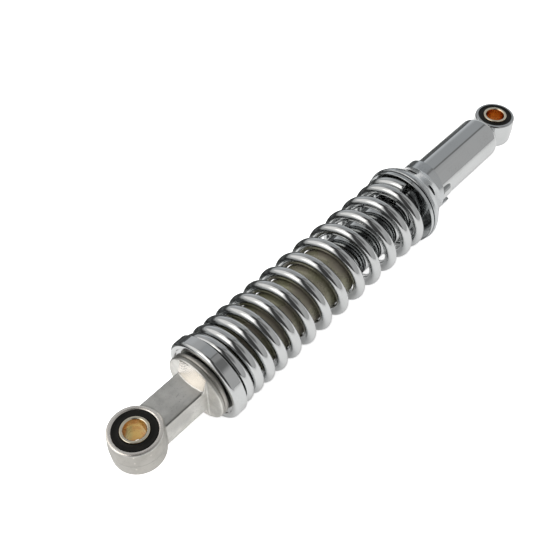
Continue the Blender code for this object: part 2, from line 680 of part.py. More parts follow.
def build():
    """Model the whole shock absorber."""
    clear_scene()
    chrome = finish("chrome", (0.78, 0.79, 0.80), 0.08, 1.0)
    cast = finish("cast_aluminium", (0.56, 0.57, 0.58), 0.45, 0.9)
    taupe = finish("guide_coating", (0.26, 0.25, 0.21), 0.38, 0.6)
    rubber = finish("rubber", (0.025, 0.023, 0.022), 0.75, 0.0)
    zinc = finish("yellow_zinc", (0.72, 0.53, 0.22), 0.25, 1.0)
    steel = finish("steel", (0.55, 0.55, 0.56), 0.25, 1.0)
    bronze = finish("bronze", (0.50, 0.34, 0.16), 0.35, 1.0)

    axis = empty("shock_axis", location=(HEAD_EYE_X * MM, 0.0, AXIS_Z * MM))
    head = empty("head_slide_axis", axis)
    seat = empty("seat_slide_axis", axis)
    ring = empty("collar_turn_axis", seat)
    head_pin = empty("head_pin_axis", head)
    tail_pin = empty("tail_pin_axis", axis, station=EYE_TO_EYE)

    head_casting(head, cast)
    spring_retainer(head, chrome)
    guide_tube(head, taupe)
    rod_group(head, steel, rubber, bronze)
    coil_spring(axis, chrome)
    body_tube(axis, chrome)
    tail_eye(axis, chrome)
    lug("cam_lug_a", LUG_ANGLE, axis, chrome)
    lug("cam_lug_b", LUG_ANGLE + CAM_PERIOD, axis, chrome)
    damper_inside(axis, steel, rubber, bronze)
    spring_seat(seat, chrome)
    adjuster_collar(ring, chrome)
    bush("head", HEAD_EYE_WIDTH, HEAD_BORE_R, head, head_pin, rubber, zinc)
    bush("tail", TAIL_EYE_WIDTH, TAIL_BORE_R, tail_pin, tail_pin, rubber, zinc)


build()
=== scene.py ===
"""Looks of a coil-over rear shock absorber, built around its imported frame.

The shock lies along +X. Its two eye bores stand upright. Axial places are stations: millimetres
along the shock's axis from the centre of the head eye. A turned piece is an outline of
(station, radius) points, and angles around the axis start at +Y and turn towards +Z.
"""

import json
import logging
import math
from collections.abc import Callable, Iterable, Sequence
from dataclasses import dataclass
from enum import Enum

import bmesh
import bpy
from mathutils import Matrix, Vector


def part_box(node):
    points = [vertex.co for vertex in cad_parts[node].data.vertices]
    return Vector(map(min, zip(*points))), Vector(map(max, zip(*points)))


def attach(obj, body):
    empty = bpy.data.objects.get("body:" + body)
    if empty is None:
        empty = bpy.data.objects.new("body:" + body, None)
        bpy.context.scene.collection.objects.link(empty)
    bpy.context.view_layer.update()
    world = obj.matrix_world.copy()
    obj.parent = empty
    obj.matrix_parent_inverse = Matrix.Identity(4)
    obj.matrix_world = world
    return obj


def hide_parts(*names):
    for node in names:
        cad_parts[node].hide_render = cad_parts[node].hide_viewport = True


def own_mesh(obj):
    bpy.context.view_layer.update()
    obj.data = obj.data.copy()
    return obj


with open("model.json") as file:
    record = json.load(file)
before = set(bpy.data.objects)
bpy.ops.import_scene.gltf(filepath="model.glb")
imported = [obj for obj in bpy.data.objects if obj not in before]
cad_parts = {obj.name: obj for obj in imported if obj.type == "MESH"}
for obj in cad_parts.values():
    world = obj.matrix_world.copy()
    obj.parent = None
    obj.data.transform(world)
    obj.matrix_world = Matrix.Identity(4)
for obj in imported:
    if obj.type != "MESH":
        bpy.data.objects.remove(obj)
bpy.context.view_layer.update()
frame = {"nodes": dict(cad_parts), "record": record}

MM = 0.001
SIDES = 160                  # sides of a turned piece
BORE_PAST = 5.0              # how far a cutter reaches past what it bores
LOG = logging.getLogger("shock_absorber")

Outline = Sequence[tuple[float, float]]


# Places ------------------------------------------------------------------------------------------

class Way(Enum):
    """Which way a turned piece's axis points."""

    ALONG = (0.0, math.pi / 2.0, 0.0)
    UPRIGHT = (0.0, 0.0, 0.0)


@dataclass(frozen=True)
class Span:
    """Where a frame node lies, in millimetres along and around the axis."""

    start: float
    end: float
    radius: float

    @property
    def length(self) -> float:
        """Length along the axis."""
        return self.end - self.start


@dataclass(frozen=True)
class Layout:
    """The shock's axis in the frame: both eye centres and the axis height, in metres."""

    head_x: float
    tail_x: float
    axis_z: float

    @classmethod
    def from_frame(cls) -> "Layout":
        """Read the axis from the two bush sleeves and the body tube."""
        head_low, head_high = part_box("head_bush_sleeve")
        tail_low, tail_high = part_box("tail_bush_sleeve")
        body_low, body_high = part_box("body_tube")
        return cls((head_low.x + head_high.x) / 2.0, (tail_low.x + tail_high.x) / 2.0,
                   (body_low.z + body_high.z) / 2.0)

    @property
    def origin(self) -> Vector:
        """Centre of the head eye, where the stations start."""
        return Vector((self.head_x, 0.0, self.axis_z))

    @property
    def eye_to_eye(self) -> float:
        """Distance between the eye centres, in millimetres."""
        return (self.tail_x - self.head_x) / MM

    def span(self, node: str) -> Span:
        """Measure a frame node that is turned about the shock's axis.

        Args:
            node: Name of the node.

        Returns:
            Its stations and its outer radius.
        """
        low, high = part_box(node)
        return Span((low.x - self.head_x) / MM, (high.x - self.head_x) / MM,
                    (high.z - low.z) / 2.0 / MM)

    def place(self, station: float, radius: float, degrees: float) -> Vector:
        """Give a place on a cylinder around the axis, in metres.

        Args:
            station: Station in millimetres.
            radius: Distance from the axis in millimetres.
            degrees: Angle about +X, from +Y towards +Z.

        Returns:
            The place in the frame.
        """
        turn = math.radians(degrees)
        return Vector((self.head_x + station * MM, radius * MM * math.cos(turn),
                       self.axis_z + radius * MM * math.sin(turn)))

    def polar(self, point: Vector) -> tuple[float, float, float]:
        """Give the station, radius and angle (millimetres, degrees) of a place in the frame."""
        height = point.z - self.axis_z
        return ((point.x - self.head_x) / MM, math.hypot(point.y, height) / MM,
                math.degrees(math.atan2(height, point.y)) % 360.0)


BODY_OF = {node: body for body, nodes in frame["record"]["behaviour"]["bodies"].items()
           for node in nodes}


# Bench: the modelling steps ----------------------------------------------------------------------

def clear_selection() -> None:
    """Leave edit mode and deselect everything."""
    if bpy.context.object and bpy.context.object.mode != "OBJECT":
        bpy.ops.object.mode_set(mode="OBJECT")
    bpy.ops.object.select_all(action="DESELECT")


def pick(piece: bpy.types.Object) -> None:
    """Make one piece the only selected and the active one."""
    clear_selection()
    piece.select_set(True)
    bpy.context.view_layer.objects.active = piece


def settle(piece: bpy.types.Object) -> None:
    """Put a piece's place, turn and scale into its mesh."""
    pick(piece)
    bpy.ops.object.transform_apply(location=True, rotation=True, scale=True)


def apply_modifier(piece: bpy.types.Object, kind: str, **settings: object) -> None:
    """Add one modifier and apply it.

    Args:
        piece: The mesh object.
        kind: Blender's modifier type.
        **settings: The modifier's properties.
    """
    pick(piece)
    modifier = piece.modifiers.new(kind.lower(), kind)
    for name, value in settings.items():
        setattr(modifier, name, value)
    bpy.ops.object.modifier_apply(modifier=modifier.name)


def round_edges(piece: bpy.types.Object, width: float, segments: int = 3,
                sharper_than: float = 32.0) -> None:
    """Round a piece's sharp edges.

    Args:
        piece: The mesh object.
        width: Width of the rounding in millimetres.
        segments: Faces across each rounding.
        sharper_than: Smallest angle, in degrees, of an edge that is rounded.
    """
    apply_modifier(piece, "BEVEL", width=width * MM, segments=segments, limit_method="ANGLE",
                   angle_limit=math.radians(sharper_than), use_clamp_overlap=True)


def smooth(piece: bpy.types.Object, sharper_than: float = 38.0) -> None:
    """Shade a piece smooth but for its sharp edges, with flat faces kept flat."""
    pick(piece)
    bpy.ops.object.shade_smooth_by_angle(angle=math.radians(sharper_than))
    apply_modifier(piece, "WEIGHTED_NORMAL", keep_sharp=True, weight=60)


def mend(piece: bpy.types.Object) -> None:
    """Merge doubled points and turn all faces outwards."""
    pick(piece)
    bpy.ops.object.mode_set(mode="EDIT")
    bpy.ops.mesh.select_all(action="SELECT")
    bpy.ops.mesh.remove_doubles(threshold=1e-7)
    bpy.ops.mesh.normals_make_consistent(inside=False)
    bpy.ops.object.mode_set(mode="OBJECT")


def cut(piece: bpy.types.Object, tool: bpy.types.Object, operation: str = "DIFFERENCE") -> None:
    """Boolean one piece with a tool, and remove the tool."""
    apply_modifier(piece, "BOOLEAN", object=tool, operation=operation, solver="EXACT")
    bpy.data.objects.remove(tool, do_unlink=True)


def lathe(name: str, outline: Outline, way: Way, centre: Vector, sides: int = SIDES,
          closed: bool = True) -> bpy.types.Object:
    """Turn an outline into a body, ring by ring, as on a lathe.

    Args:
        name: Name of the new piece.
        outline: Points of (distance along the axis, radius) in millimetres.
        way: Direction of the piece's axis.
        centre: Place of the outline's zero, in metres.
        sides: Sides of the turned piece.
        closed: Whether the outline is a closed ring; if not, both ends are filled flat.

    Returns:
        The new mesh object, with its place in its mesh.
    """
    clear_selection()
    start, first = outline[0]
    bpy.ops.mesh.primitive_circle_add(vertices=sides, radius=first * MM, fill_type="NOTHING")
    piece = bpy.context.object
    piece.name = name
    bpy.ops.object.mode_set(mode="EDIT")
    bpy.ops.mesh.select_all(action="SELECT")
    bpy.ops.transform.translate(value=(0.0, 0.0, start * MM))
    for (low, inner), (high, outer) in zip(outline, outline[1:]):
        bpy.ops.mesh.extrude_edges_move(
            TRANSFORM_OT_translate={"value": (0.0, 0.0, (high - low) * MM)})
        grow = outer / inner
        bpy.ops.transform.resize(value=(grow, grow, 1.0), center_override=(0.0, 0.0, high * MM))
    bpy.ops.mesh.select_all(action="DESELECT")
    bpy.ops.mesh.select_non_manifold()
    if closed:
        bpy.ops.mesh.bridge_edge_loops()
    else:
        bpy.ops.mesh.fill_holes(sides=0)
    bpy.ops.object.mode_set(mode="OBJECT")
    piece.rotation_euler = way.value
    piece.location = centre
    settle(piece)
    mend(piece)
    return piece


def arc(centre: tuple[float, float], radius: float, start: float, end: float,
        steps: int = 6) -> list[tuple[float, float]]:
    """Give points on an arc of an outline.

    Args:
        centre: The arc's centre as (along, radius) in millimetres.
        radius: The arc's radius in millimetres.
        start: First angle in degrees, from the along direction towards larger radius.
        end: Last angle in degrees.
        steps: Straight pieces in the arc.

    Returns:
        The points in order.
    """
    points = []
    for index in range(steps + 1):
        turn = math.radians(start + (end - start) * index / steps)
        points.append((centre[0] + radius * math.cos(turn), centre[1] + radius * math.sin(turn)))
    return points


def mirrored(outline: Outline) -> list[tuple[float, float]]:
    """Give the other half of an outline that is the same on both sides of its zero."""
    return [(-along, radius) for along, radius in reversed(outline)]


def drum(name: str, centre: Vector, half: float, radius: float, draft: float, edge: float,
         steps: int) -> bpy.types.Object:
    """Turn an eye's upright drum, with rounded rims and a wall that is fuller at mid height.

    Args:
        name: Name of the new piece.
        centre: The eye's centre, in metres.
        half: Half of the drum's height in millimetres.
        radius: Its radius at the rims.
        draft: How much larger its radius is at mid height.
        edge: Rounding of the rims.
        steps: Straight pieces in each rounding.

    Returns:
        The drum, without its bore.
    """
    top = arc((half - edge, radius - edge), edge, 90.0, 0.0, steps)
    return lathe(name, [*mirrored(top), (0.0, radius + draft), *top], Way.UPRIGHT, centre,
                 closed=False)


def bore_eye(piece: bpy.types.Object, centre: Vector, half: float, radius: float) -> None:
    """Bore an eye upright through its centre, a little past its half height both ways."""
    end = half + BORE_PAST
    cut(piece, lathe("bore_tool", [(-end, radius), (end, radius)], Way.UPRIGHT, centre,
                     closed=False))


def block(name: str, low: Vector, high: Vector) -> bpy.types.Object:
    """Add a box between two corners in metres."""
    clear_selection()
    bpy.ops.mesh.primitive_cube_add(size=1.0, location=(low + high) / 2.0)
    piece = bpy.context.object
    piece.name = name
    piece.scale = high - low
    settle(piece)
    return piece


def edit_points(piece: bpy.types.Object, move: Callable[[Vector], Vector]) -> None:
    """Move every point of a piece by a rule."""
    for point in piece.data.vertices:
        point.co = move(point.co)
    piece.data.update()


# Node trees --------------------------------------------------------------------------------------

class Tree:
    """A short way to build one node tree."""

    def __init__(self, tree: bpy.types.NodeTree) -> None:
        """Take the tree to build in."""
        self.tree = tree

    def add(self, kind: str, settings: dict[str, object] | None = None,
            **inputs: object) -> bpy.types.Node:
        """Add a node, with its settings and inputs.

        Args:
            kind: Blender's node type, without its ShaderNode prefix.
            settings: Properties of the node itself.
            **inputs: Values or sockets by input name, with underscores for spaces, or by
                place as i0, i1 and so on.

        Returns:
            The new node.
        """
        node = self.tree.nodes.new("ShaderNode" + kind)
        for name, value in (settings or {}).items():
            setattr(node, name, value)
        for name, value in inputs.items():
            by_place = name[0] == "i" and name[1:].isdigit()
            self.feed(value, node.inputs[int(name[1:]) if by_place else name.replace("_", " ")])
        return node

    def feed(self, value: object, socket: bpy.types.NodeSocket) -> None:
        """Link an output to a socket, or set the socket to a plain value."""
        if isinstance(value, bpy.types.NodeSocket):
            self.tree.links.new(value, socket)
        else:
            socket.default_value = value

    def math(self, operation: str, *values: object) -> bpy.types.NodeSocket:
        """Add a Math node on up to three values and give its result."""
        inputs = {f"i{place}": value for place, value in enumerate(values)}
        return self.add("Math", {"operation": operation}, **inputs).outputs[0]

    def times(self, first: object, *others: object) -> bpy.types.NodeSocket:
        """Multiply values."""
        for other in others:
            first = self.math("MULTIPLY", first, other)
        return first

    def away(self, value: object, centre: float) -> bpy.types.NodeSocket:
        """Give how far a value is from a centre, on either side."""
        return self.math("ABSOLUTE", self.math("SUBTRACT", value, centre))

    def remap(self, value: object, low: float, high: float, to_low: float = 0.0,
              to_high: float = 1.0, steps: str = "SMOOTHSTEP") -> bpy.types.NodeSocket:
        """Map a value's range onto another, held at both ends."""
        return self.add("MapRange", {"interpolation_type": steps, "clamp": True}, Value=value,
                        From_Min=low, From_Max=high, To_Min=to_low, To_Max=to_high).outputs[0]

    def between(self, share: object, low: float, high: float) -> bpy.types.NodeSocket:
        """Map a share, 0 to 1, evenly onto a range."""
        return self.remap(share, 0.0, 1.0, low, high, "LINEAR")

    def within(self, value: object, limit: float, soft: float) -> bpy.types.NodeSocket:
        """Mask what is under a limit, with an edge that fades out past it."""
        return self.remap(value, limit, limit + soft, 1.0, 0.0)

    def beyond(self, value: object, limit: float, soft: float) -> bpy.types.NodeSocket:
        """Mask what is over a limit, with an edge that fades in past it."""
        return self.remap(value, limit, limit + soft)

    def mix(self, share: object, first: object, second: object) -> bpy.types.NodeSocket:
        """Mix two colours by a share."""
        return self.add("Mix", {"data_type": "RGBA"}, i0=share, i6=first, i7=second).outputs[2]

    def group(self, tree: bpy.types.NodeTree, **inputs: object) -> bpy.types.Node:
        """Place a node group with its own values."""
        return self.add("Group", {"node_tree": tree}, **inputs)


def new_group(name: str, inputs: dict[str, float], outputs: Iterable[str]) -> Tree:
    """Start a shader node group with float inputs and outputs.

    Args:
        name: Name of the group.
        inputs: Input names and their defaults.
        outputs: Output names.

    Returns:
        The group's tree, with its Group Input and Group Output nodes in place.
    """
    tree = bpy.data.node_groups.new(name, "ShaderNodeTree")
    for title, value in inputs.items():
        socket = tree.interface.new_socket(name=title, in_out="INPUT", socket_type="NodeSocketFloat")
        socket.default_value = value
    for title in outputs:
        tree.interface.new_socket(name=title, in_out="OUTPUT", socket_type="NodeSocketFloat")
    tree.nodes.new("NodeGroupInput")
    tree.nodes.new("NodeGroupOutput")
    return Tree(tree)


def make_mottle() -> bpy.types.NodeTree:
    """Make the group for soft blotches, such as uneven polish or stains."""
    made = new_group("mottle", {"Scale": 100.0, "Low": 0.4, "High": 0.6}, ["Mask"])
    given = made.tree.nodes["Group Input"]
    where = made.add("TexCoord")
    noise = made.add("TexNoise", None, Vector=where.outputs["Object"],
                     Scale=given.outputs["Scale"], Detail=4.0, Roughness=0.55)
    mask = made.add("MapRange", {"interpolation_type": "SMOOTHSTEP"}, Value=noise.outputs["Fac"],
                    From_Min=given.outputs["Low"], From_Max=given.outputs["High"])
    made.feed(mask.outputs[0], made.tree.nodes["Group Output"].inputs["Mask"])
    return made.tree


def make_grain() -> bpy.types.NodeTree:
    """Make the group for cast or sprayed grain: bumps with pits between them."""
    made = new_group("grain", {"Scale": 1500.0, "Pits": 0.3}, ["Height", "Pit"])
    given = made.tree.nodes["Group Input"]
    where = made.add("TexCoord")
    noise = made.add("TexNoise", None, Vector=where.outputs["Object"],
                     Scale=given.outputs["Scale"], Detail=5.0, Roughness=0.62)
    cells = made.add("TexVoronoi", {"feature": "F1"}, Vector=where.outputs["Object"],
                     Scale=made.times(given.outputs["Scale"], 0.45), Randomness=1.0)
    pit = made.remap(cells.outputs["Distance"], 0.06, 0.24, 1.0, 0.0)
    sunk = made.times(pit, given.outputs["Pits"])
    results = made.tree.nodes["Group Output"].inputs
    made.feed(made.math("SUBTRACT", noise.outputs["Fac"], sunk), results["Height"])
    made.feed(sunk, results["Pit"])
    return made.tree


def make_edge_wear() -> bpy.types.NodeTree:
    """Make the group for rubbed outer edges, broken up by noise."""
    made = new_group("edge_wear", {"From": 0.505, "To": 0.56, "Scale": 700.0}, ["Mask"])
    given = made.tree.nodes["Group Input"]
    where = made.add("TexCoord")
    shape = made.add("NewGeometry")
    noise = made.add("TexNoise", None, Vector=where.outputs["Object"],
                     Scale=given.outputs["Scale"], Detail=3.0)
    edge = made.add("MapRange", {"interpolation_type": "SMOOTHSTEP"},
                    Value=shape.outputs["Pointiness"], From_Min=given.outputs["From"],
                    From_Max=given.outputs["To"])
    broken = made.remap(noise.outputs["Fac"], 0.3, 0.6, 0.45, 1.0)
    made.feed(made.times(edge.outputs[0], broken), made.tree.nodes["Group Output"].inputs["Mask"])
    return made.tree


@dataclass(frozen=True)
class Effects:
    """The node groups that the finishes share."""

    mottle: bpy.types.NodeTree
    grain: bpy.types.NodeTree
    edge_wear: bpy.types.NodeTree

    @classmethod
    def build(cls) -> "Effects":
        """Make every shared group once."""
        return cls(make_mottle(), make_grain(), make_edge_wear())

    def blotches(self, tree: Tree, scale: float, low: float, high: float) -> bpy.types.NodeSocket:
        """Place the mottle in a material and give its mask."""
        return tree.group(self.mottle, Scale=scale, Low=low, High=high).outputs["Mask"]

    def wrinkles(self, tree: Tree, scale: float, pits: float) -> bpy.types.NodeSocket:
        """Place the grain in a material and give its height."""
        return tree.group(self.grain, Scale=scale, Pits=pits).outputs["Height"]


# Finishes ----------------------------------------------------------------------------------------

Colour = tuple[float, float, float]


def rgba(colour: Colour) -> tuple[float, float, float, float]:
    """Give a colour with full alpha."""
    return (*colour, 1.0)


def start_material(name: str, metallic: float, roughness: float) -> tuple[
        bpy.types.Material, Tree, bpy.types.Node]:
    """Start a material.

    Args:
        name: Name of the material.
        metallic: The shader's Metallic.
        roughness: The shader's Roughness where nothing is linked to it.

    Returns:
        The material, its tree and its Principled BSDF.
    """
    material = bpy.data.materials.new(name)
    material.use_nodes = True
    tree = Tree(material.node_tree)
    shader = material.node_tree.nodes["Principled BSDF"]
    shader.inputs["Metallic"].default_value = metallic
    shader.inputs["Roughness"].default_value = roughness
    return material, tree, shader


def dress(tree: Tree, shader: bpy.types.Node, colour: bpy.types.NodeSocket,
          roughness: bpy.types.NodeSocket) -> None:
    """Feed a shader's colour and roughness."""
    tree.feed(colour, shader.inputs["Base Color"])
    tree.feed(roughness, shader.inputs["Roughness"])


def bump(tree: Tree, shader: bpy.types.Node, height: bpy.types.NodeSocket, strength: float,
         depth: float) -> None:
    """Feed a height into the shader's normal.

    Args:
        tree: The material's tree.
        shader: Its Principled BSDF.
        height: The height, 0 to 1.
        strength: The Bump node's strength.
        depth: Depth of a full step of height, in millimetres.
    """
    node = tree.add("Bump", None, Strength=strength, Distance=depth * MM, Height=height)
    tree.feed(node.outputs["Normal"], shader.inputs["Normal"])


def drawing_marks(tree: Tree, where: bpy.types.NodeSocket,
                  scale: tuple[float, float, float]) -> bpy.types.NodeSocket:
    """Give fine tool marks: noise that is drawn out along the axes of the smaller scales."""
    drawn = tree.add("Mapping", None, Vector=where, Scale=scale).outputs[0]
    return tree.add("TexNoise", None, Vector=drawn, Scale=1.0, Detail=2.0).outputs["Fac"]


@dataclass(frozen=True)
class Plating:
    """Bright chrome plating over polished steel."""

    name: str
    tint: Colour = (0.565, 0.575, 0.575)
    haze_tint: Colour = (0.50, 0.51, 0.505)
    polish: float = 0.035
    haze: float = 0.10
    ripple: float = 0.05

    def build(self, effects: Effects) -> bpy.types.Material:
        """Make the material, with hazy patches and a faint ripple in the polish."""
        material, tree, shader = start_material(self.name, metallic=1.0, roughness=self.polish)
        dirt = tree.times(effects.blotches(tree, 60.0, 0.42, 0.72),
                          effects.blotches(tree, 900.0, 0.35, 0.75))
        dress(tree, shader, tree.mix(dirt, rgba(self.tint), rgba(self.haze_tint)),
              tree.between(dirt, self.polish, self.haze))
        bump(tree, shader, effects.blotches(tree, 210.0, 0.2, 0.8), strength=self.ripple, depth=0.1)
        return material


@dataclass(frozen=True)
class CastingPlaces:
    """Where a point of the casting lies: distances in metres, as sockets."""

    across: bpy.types.NodeSocket    # along the shock, from the eye's centre
    side: bpy.types.NodeSocket      # sideways from the shock's axis
    height: bpy.types.NodeSocket    # above or below the shock's axis
    reach: bpy.types.NodeSocket     # from the middle line of the eye's bore

    @classmethod
    def measure(cls, tree: Tree, layout: Layout) -> "CastingPlaces":
        """Measure the distances from the Object coordinates."""
        where = tree.add("TexCoord").outputs["Object"]
        parts = tree.add("SeparateXYZ", None, Vector=where).outputs
        across = tree.math("SUBTRACT", parts["X"], layout.head_x)
        reach = tree.math("SQRT", tree.math("ADD", tree.math("POWER", across, 2.0),
                                            tree.math("POWER", parts["Y"], 2.0)))
        return cls(across, tree.math("ABSOLUTE", parts["Y"]),
                   tree.away(parts["Z"], layout.axis_z), reach)


@dataclass(frozen=True)
class Casting:
    """Bare cast aluminium, tumbled, with machined eye faces and a machined ramp."""

    name: str
    layout: Layout
    face_half: float                # half the eye's height, in metres
    face_reach: float               # the eye's outer radius, in metres
    light: Colour = (0.74, 0.73, 0.695)
    dark: Colour = (0.53, 0.525, 0.50)
    # painted shade, on the eye's side wall and on the boss's cylinder
    painted_shade: Colour = (0.36, 0.345, 0.315)
    # dark of the casting seam, and the painted dark reflection along the arm's rounded edges
    seam_and_painted_reflection_dark: Colour = (0.13, 0.128, 0.12)
    speck: Colour = (0.22, 0.215, 0.21)
    pit: Colour = (0.16, 0.155, 0.15)
    machined: Colour = (0.89, 0.845, 0.785)
    machined_roughness: float = 0.24
    ring_pitch: float = 0.35        # turning rings on the machined faces
    ring_height: float = 0.12       # share of the grain's height
    boss_shade_start: float = 42.5        # station where the painted shade on the boss's cylinder begins
    arm_start: float = 12.0         # stations, half width and half thickness of the arm
    arm_end: float = 38.0
    arm_side: float = 9.1
    arm_top: float = 8.25
    ramp_start: float = 37.0        # stations, half width and height of the machined ramp
    ramp_end: float = 41.9
    ramp_half_width: float = 9.7
    ramp_height: float = 9.45
    soft: float = 0.25              # fade at the masks' edges

    def build(self, effects: Effects) -> bpy.types.Material:
        """Make the material: grain, stains, rubbed edges, turned rings, painted shade on the eye wall and
        the boss, and a painted dark reflection along the arm's edges.
        """
        material, tree, shader = start_material(self.name, metallic=1.0, roughness=0.4)
        at = CastingPlaces.measure(tree, self.layout)
        stain = effects.blotches(tree, 70.0, 0.35, 0.68)
        specks = effects.blotches(tree, 620.0, 0.58, 0.74)
        grain = tree.group(effects.grain, Scale=1400.0, Pits=0.4)
        worn = tree.group(effects.edge_wear, From=0.51, To=0.60, Scale=500.0).outputs["Mask"]
        eye = tree.within(at.reach, self.face_reach + 0.1 * MM, 0.3 * MM)
        rim = tree.beyond(at.height, self.face_half - 0.35 * MM, 0.2 * MM)
        face = tree.math("MAXIMUM", tree.times(rim, eye), self._ramp_mask(tree, at))
        # painted shade: the eye's side wall below its machined faces is darkened
        wall = tree.times(eye, tree.within(at.height, self.face_half - 1.2 * MM, 0.6 * MM))
        seam = tree.times(tree.within(at.height, 0.12 * MM, 0.23 * MM),
                          tree.beyond(at.reach, self.face_reach - 1.5 * MM, 0.5 * MM), eye)
        # painted shade on the boss's cylinder behind its flat front
        boss = tree.beyond(at.across, self.boss_shade_start * MM, 0.3 * MM)
        # painted dark reflection along the arm's rounded edges, broken up by the specks
        painted_edge_reflection = tree.times(self._painted_edge_reflection_mask(tree, at), tree.between(specks, 0.8, 0.3))
        colour = tree.mix(stain, rgba(self.light), rgba(self.dark))
        for mask, strength, tone in (
                (wall, 0.75, self.painted_shade), (specks, 0.35, self.speck),
                (grain.outputs["Pit"], 0.5, self.pit), (worn, 0.5, self.machined),
                (boss, 0.8, self.painted_shade), (seam, 0.4, self.seam_and_painted_reflection_dark), (painted_edge_reflection, 1.0, self.seam_and_painted_reflection_dark),
                (face, 1.0, self.machined)):
            colour = tree.mix(tree.times(mask, strength), colour, rgba(tone))
        roughness = tree.add("Mix", {"data_type": "FLOAT"}, i0=face,
                             i2=tree.between(stain, 0.36, 0.47), i3=self.machined_roughness)
        dress(tree, shader, colour, roughness.outputs[0])
        rings = tree.math("SINE", tree.times(at.reach, 2.0 * math.pi / (self.ring_pitch * MM)))
        turned = tree.times(rings, self.ring_height, face)
        rough_cast = tree.times(grain.outputs["Height"], tree.math("SUBTRACT", 1.0, face))
        bump(tree, shader, tree.math("ADD", rough_cast, turned), strength=0.6, depth=0.14)
        return material

    def _ramp_mask(self, tree: Tree, at: CastingPlaces) -> bpy.types.NodeSocket:
        """Mask the milled ramp between the arm and the boss."""
        soft = self.soft * MM
        return tree.times(tree.beyond(at.across, self.ramp_start * MM, soft),
                          tree.within(at.across, self.ramp_end * MM, soft),
                          tree.within(at.side, self.ramp_half_width * MM, soft),
                          tree.beyond(at.height, self.ramp_height * MM, soft))

    def _painted_edge_reflection_mask(self, tree: Tree, at: CastingPlaces) -> bpy.types.NodeSocket:
        """Mask the painted dark reflection along the arm's rounded edges."""
        soft = self.soft * MM
        return tree.times(tree.beyond(at.across, self.arm_start * MM, 1.0 * MM),
                          tree.within(at.across, self.arm_end * MM, soft),
                          tree.beyond(at.side, self.arm_side * MM, soft),
                          tree.beyond(at.height, self.arm_top * MM, soft))


@dataclass(frozen=True)
class Coating:
    """Grey-brown satin coating of the guide tube."""

    name: str
    olive: Colour = (0.200, 0.196, 0.125)
    brown: Colour = (0.225, 0.203, 0.165)

    def build(self, effects: Effects) -> bpy.types.Material:
        """Make the material: two close tones and a fine sprayed grain."""
        material, tree, shader = start_material(self.name, metallic=0.45, roughness=0.26)
        tone = effects.blotches(tree, 45.0, 0.38, 0.62)
        dress(tree, shader, tree.mix(tone, rgba(self.olive), rgba(self.brown)),
              tree.between(tone, 0.22, 0.32))
        bump(tree, shader, effects.wrinkles(tree, 1900.0, 0.1), strength=0.25, depth=0.03)
        return material


@dataclass(frozen=True)
class Rubber:
    """Black moulded rubber."""

    name: str
    black: Colour = (0.004, 0.004, 0.003)
    bloom: Colour = (0.009, 0.008, 0.006)

    def build(self, effects: Effects) -> bpy.types.Material:
        """Make the material: matt black with a light bloom and a soft grain."""
        material, tree, shader = start_material(self.name, metallic=0.0, roughness=0.55)
        shader.inputs["Specular IOR Level"].default_value = 0.22
        bloom = effects.blotches(tree, 260.0, 0.45, 0.8)
        dress(tree, shader, tree.mix(bloom, rgba(self.black), rgba(self.bloom)),
              tree.between(bloom, 0.48, 0.66))
        bump(tree, shader, effects.wrinkles(tree, 2600.0, 0.2), strength=0.35, depth=0.04)
        return material


@dataclass(frozen=True)
class YellowZinc:
    """Yellow-passivated zinc: gold that drifts to orange and olive, with a painted highlight on the end
    lips.
    """

    name: str
    centre_z: float
    end_height: float
    gold: Colour = (0.62, 0.41, 0.13)
    orange: Colour = (0.56, 0.235, 0.06)
    olive: Colour = (0.36, 0.345, 0.13)
    # painted highlight on the sleeve's end lips
    pale: Colour = (0.78, 0.72, 0.58)
    orange_share: float = 0.5

    def build(self, effects: Effects) -> bpy.types.Material:
        """Make the material: colour drift, a painted highlight on the end lips and fine drawing marks."""
        material, tree, shader = start_material(self.name, metallic=1.0, roughness=0.3)
        warm = effects.blotches(tree, 150.0, 0.35, 0.65)
        green = effects.blotches(tree, 95.0, 0.48, 0.70)
        where = tree.add("TexCoord").outputs["Object"]
        height = tree.add("SeparateXYZ", None, Vector=where).outputs["Z"]
        # painted highlight: the sleeve's end lips are painted pale
        end = tree.beyond(tree.away(height, self.centre_z), self.end_height - 0.5 * MM, 0.4 * MM)
        colour = tree.mix(tree.between(warm, 1.4 * self.orange_share - 0.5,
                                       1.4 * self.orange_share + 0.3),
                          rgba(self.gold), rgba(self.orange))
        colour = tree.mix(tree.times(green, 1.0 - self.orange_share), colour, rgba(self.olive))
        dress(tree, shader, tree.mix(end, colour, rgba(self.pale)), tree.between(warm, 0.20, 0.34))
        bump(tree, shader, drawing_marks(tree, where, (900.0, 900.0, 90.0)), strength=0.25, depth=0.02)
        return material


@dataclass(frozen=True)
class MachinedMetal:
    """Turned steel or bronze of the hidden damper parts."""

    name: str
    bright: Colour
    dull: Colour
    roughness: float = 0.24

    def build(self, effects: Effects) -> bpy.types.Material:
        """Make the material: turning marks across the axis and an oily mottle."""
        material, tree, shader = start_material(self.name, metallic=1.0, roughness=self.roughness)
        oil = effects.blotches(tree, 120.0, 0.4, 0.7)
        where = tree.add("TexCoord").outputs["Object"]
        dress(tree, shader, tree.mix(oil, rgba(self.bright), rgba(self.dull)),
              tree.between(oil, self.roughness, self.roughness + 0.12))
        bump(tree, shader, drawing_marks(tree, where, (6000.0, 60.0, 60.0)), strength=0.2, depth=0.02)
        return material


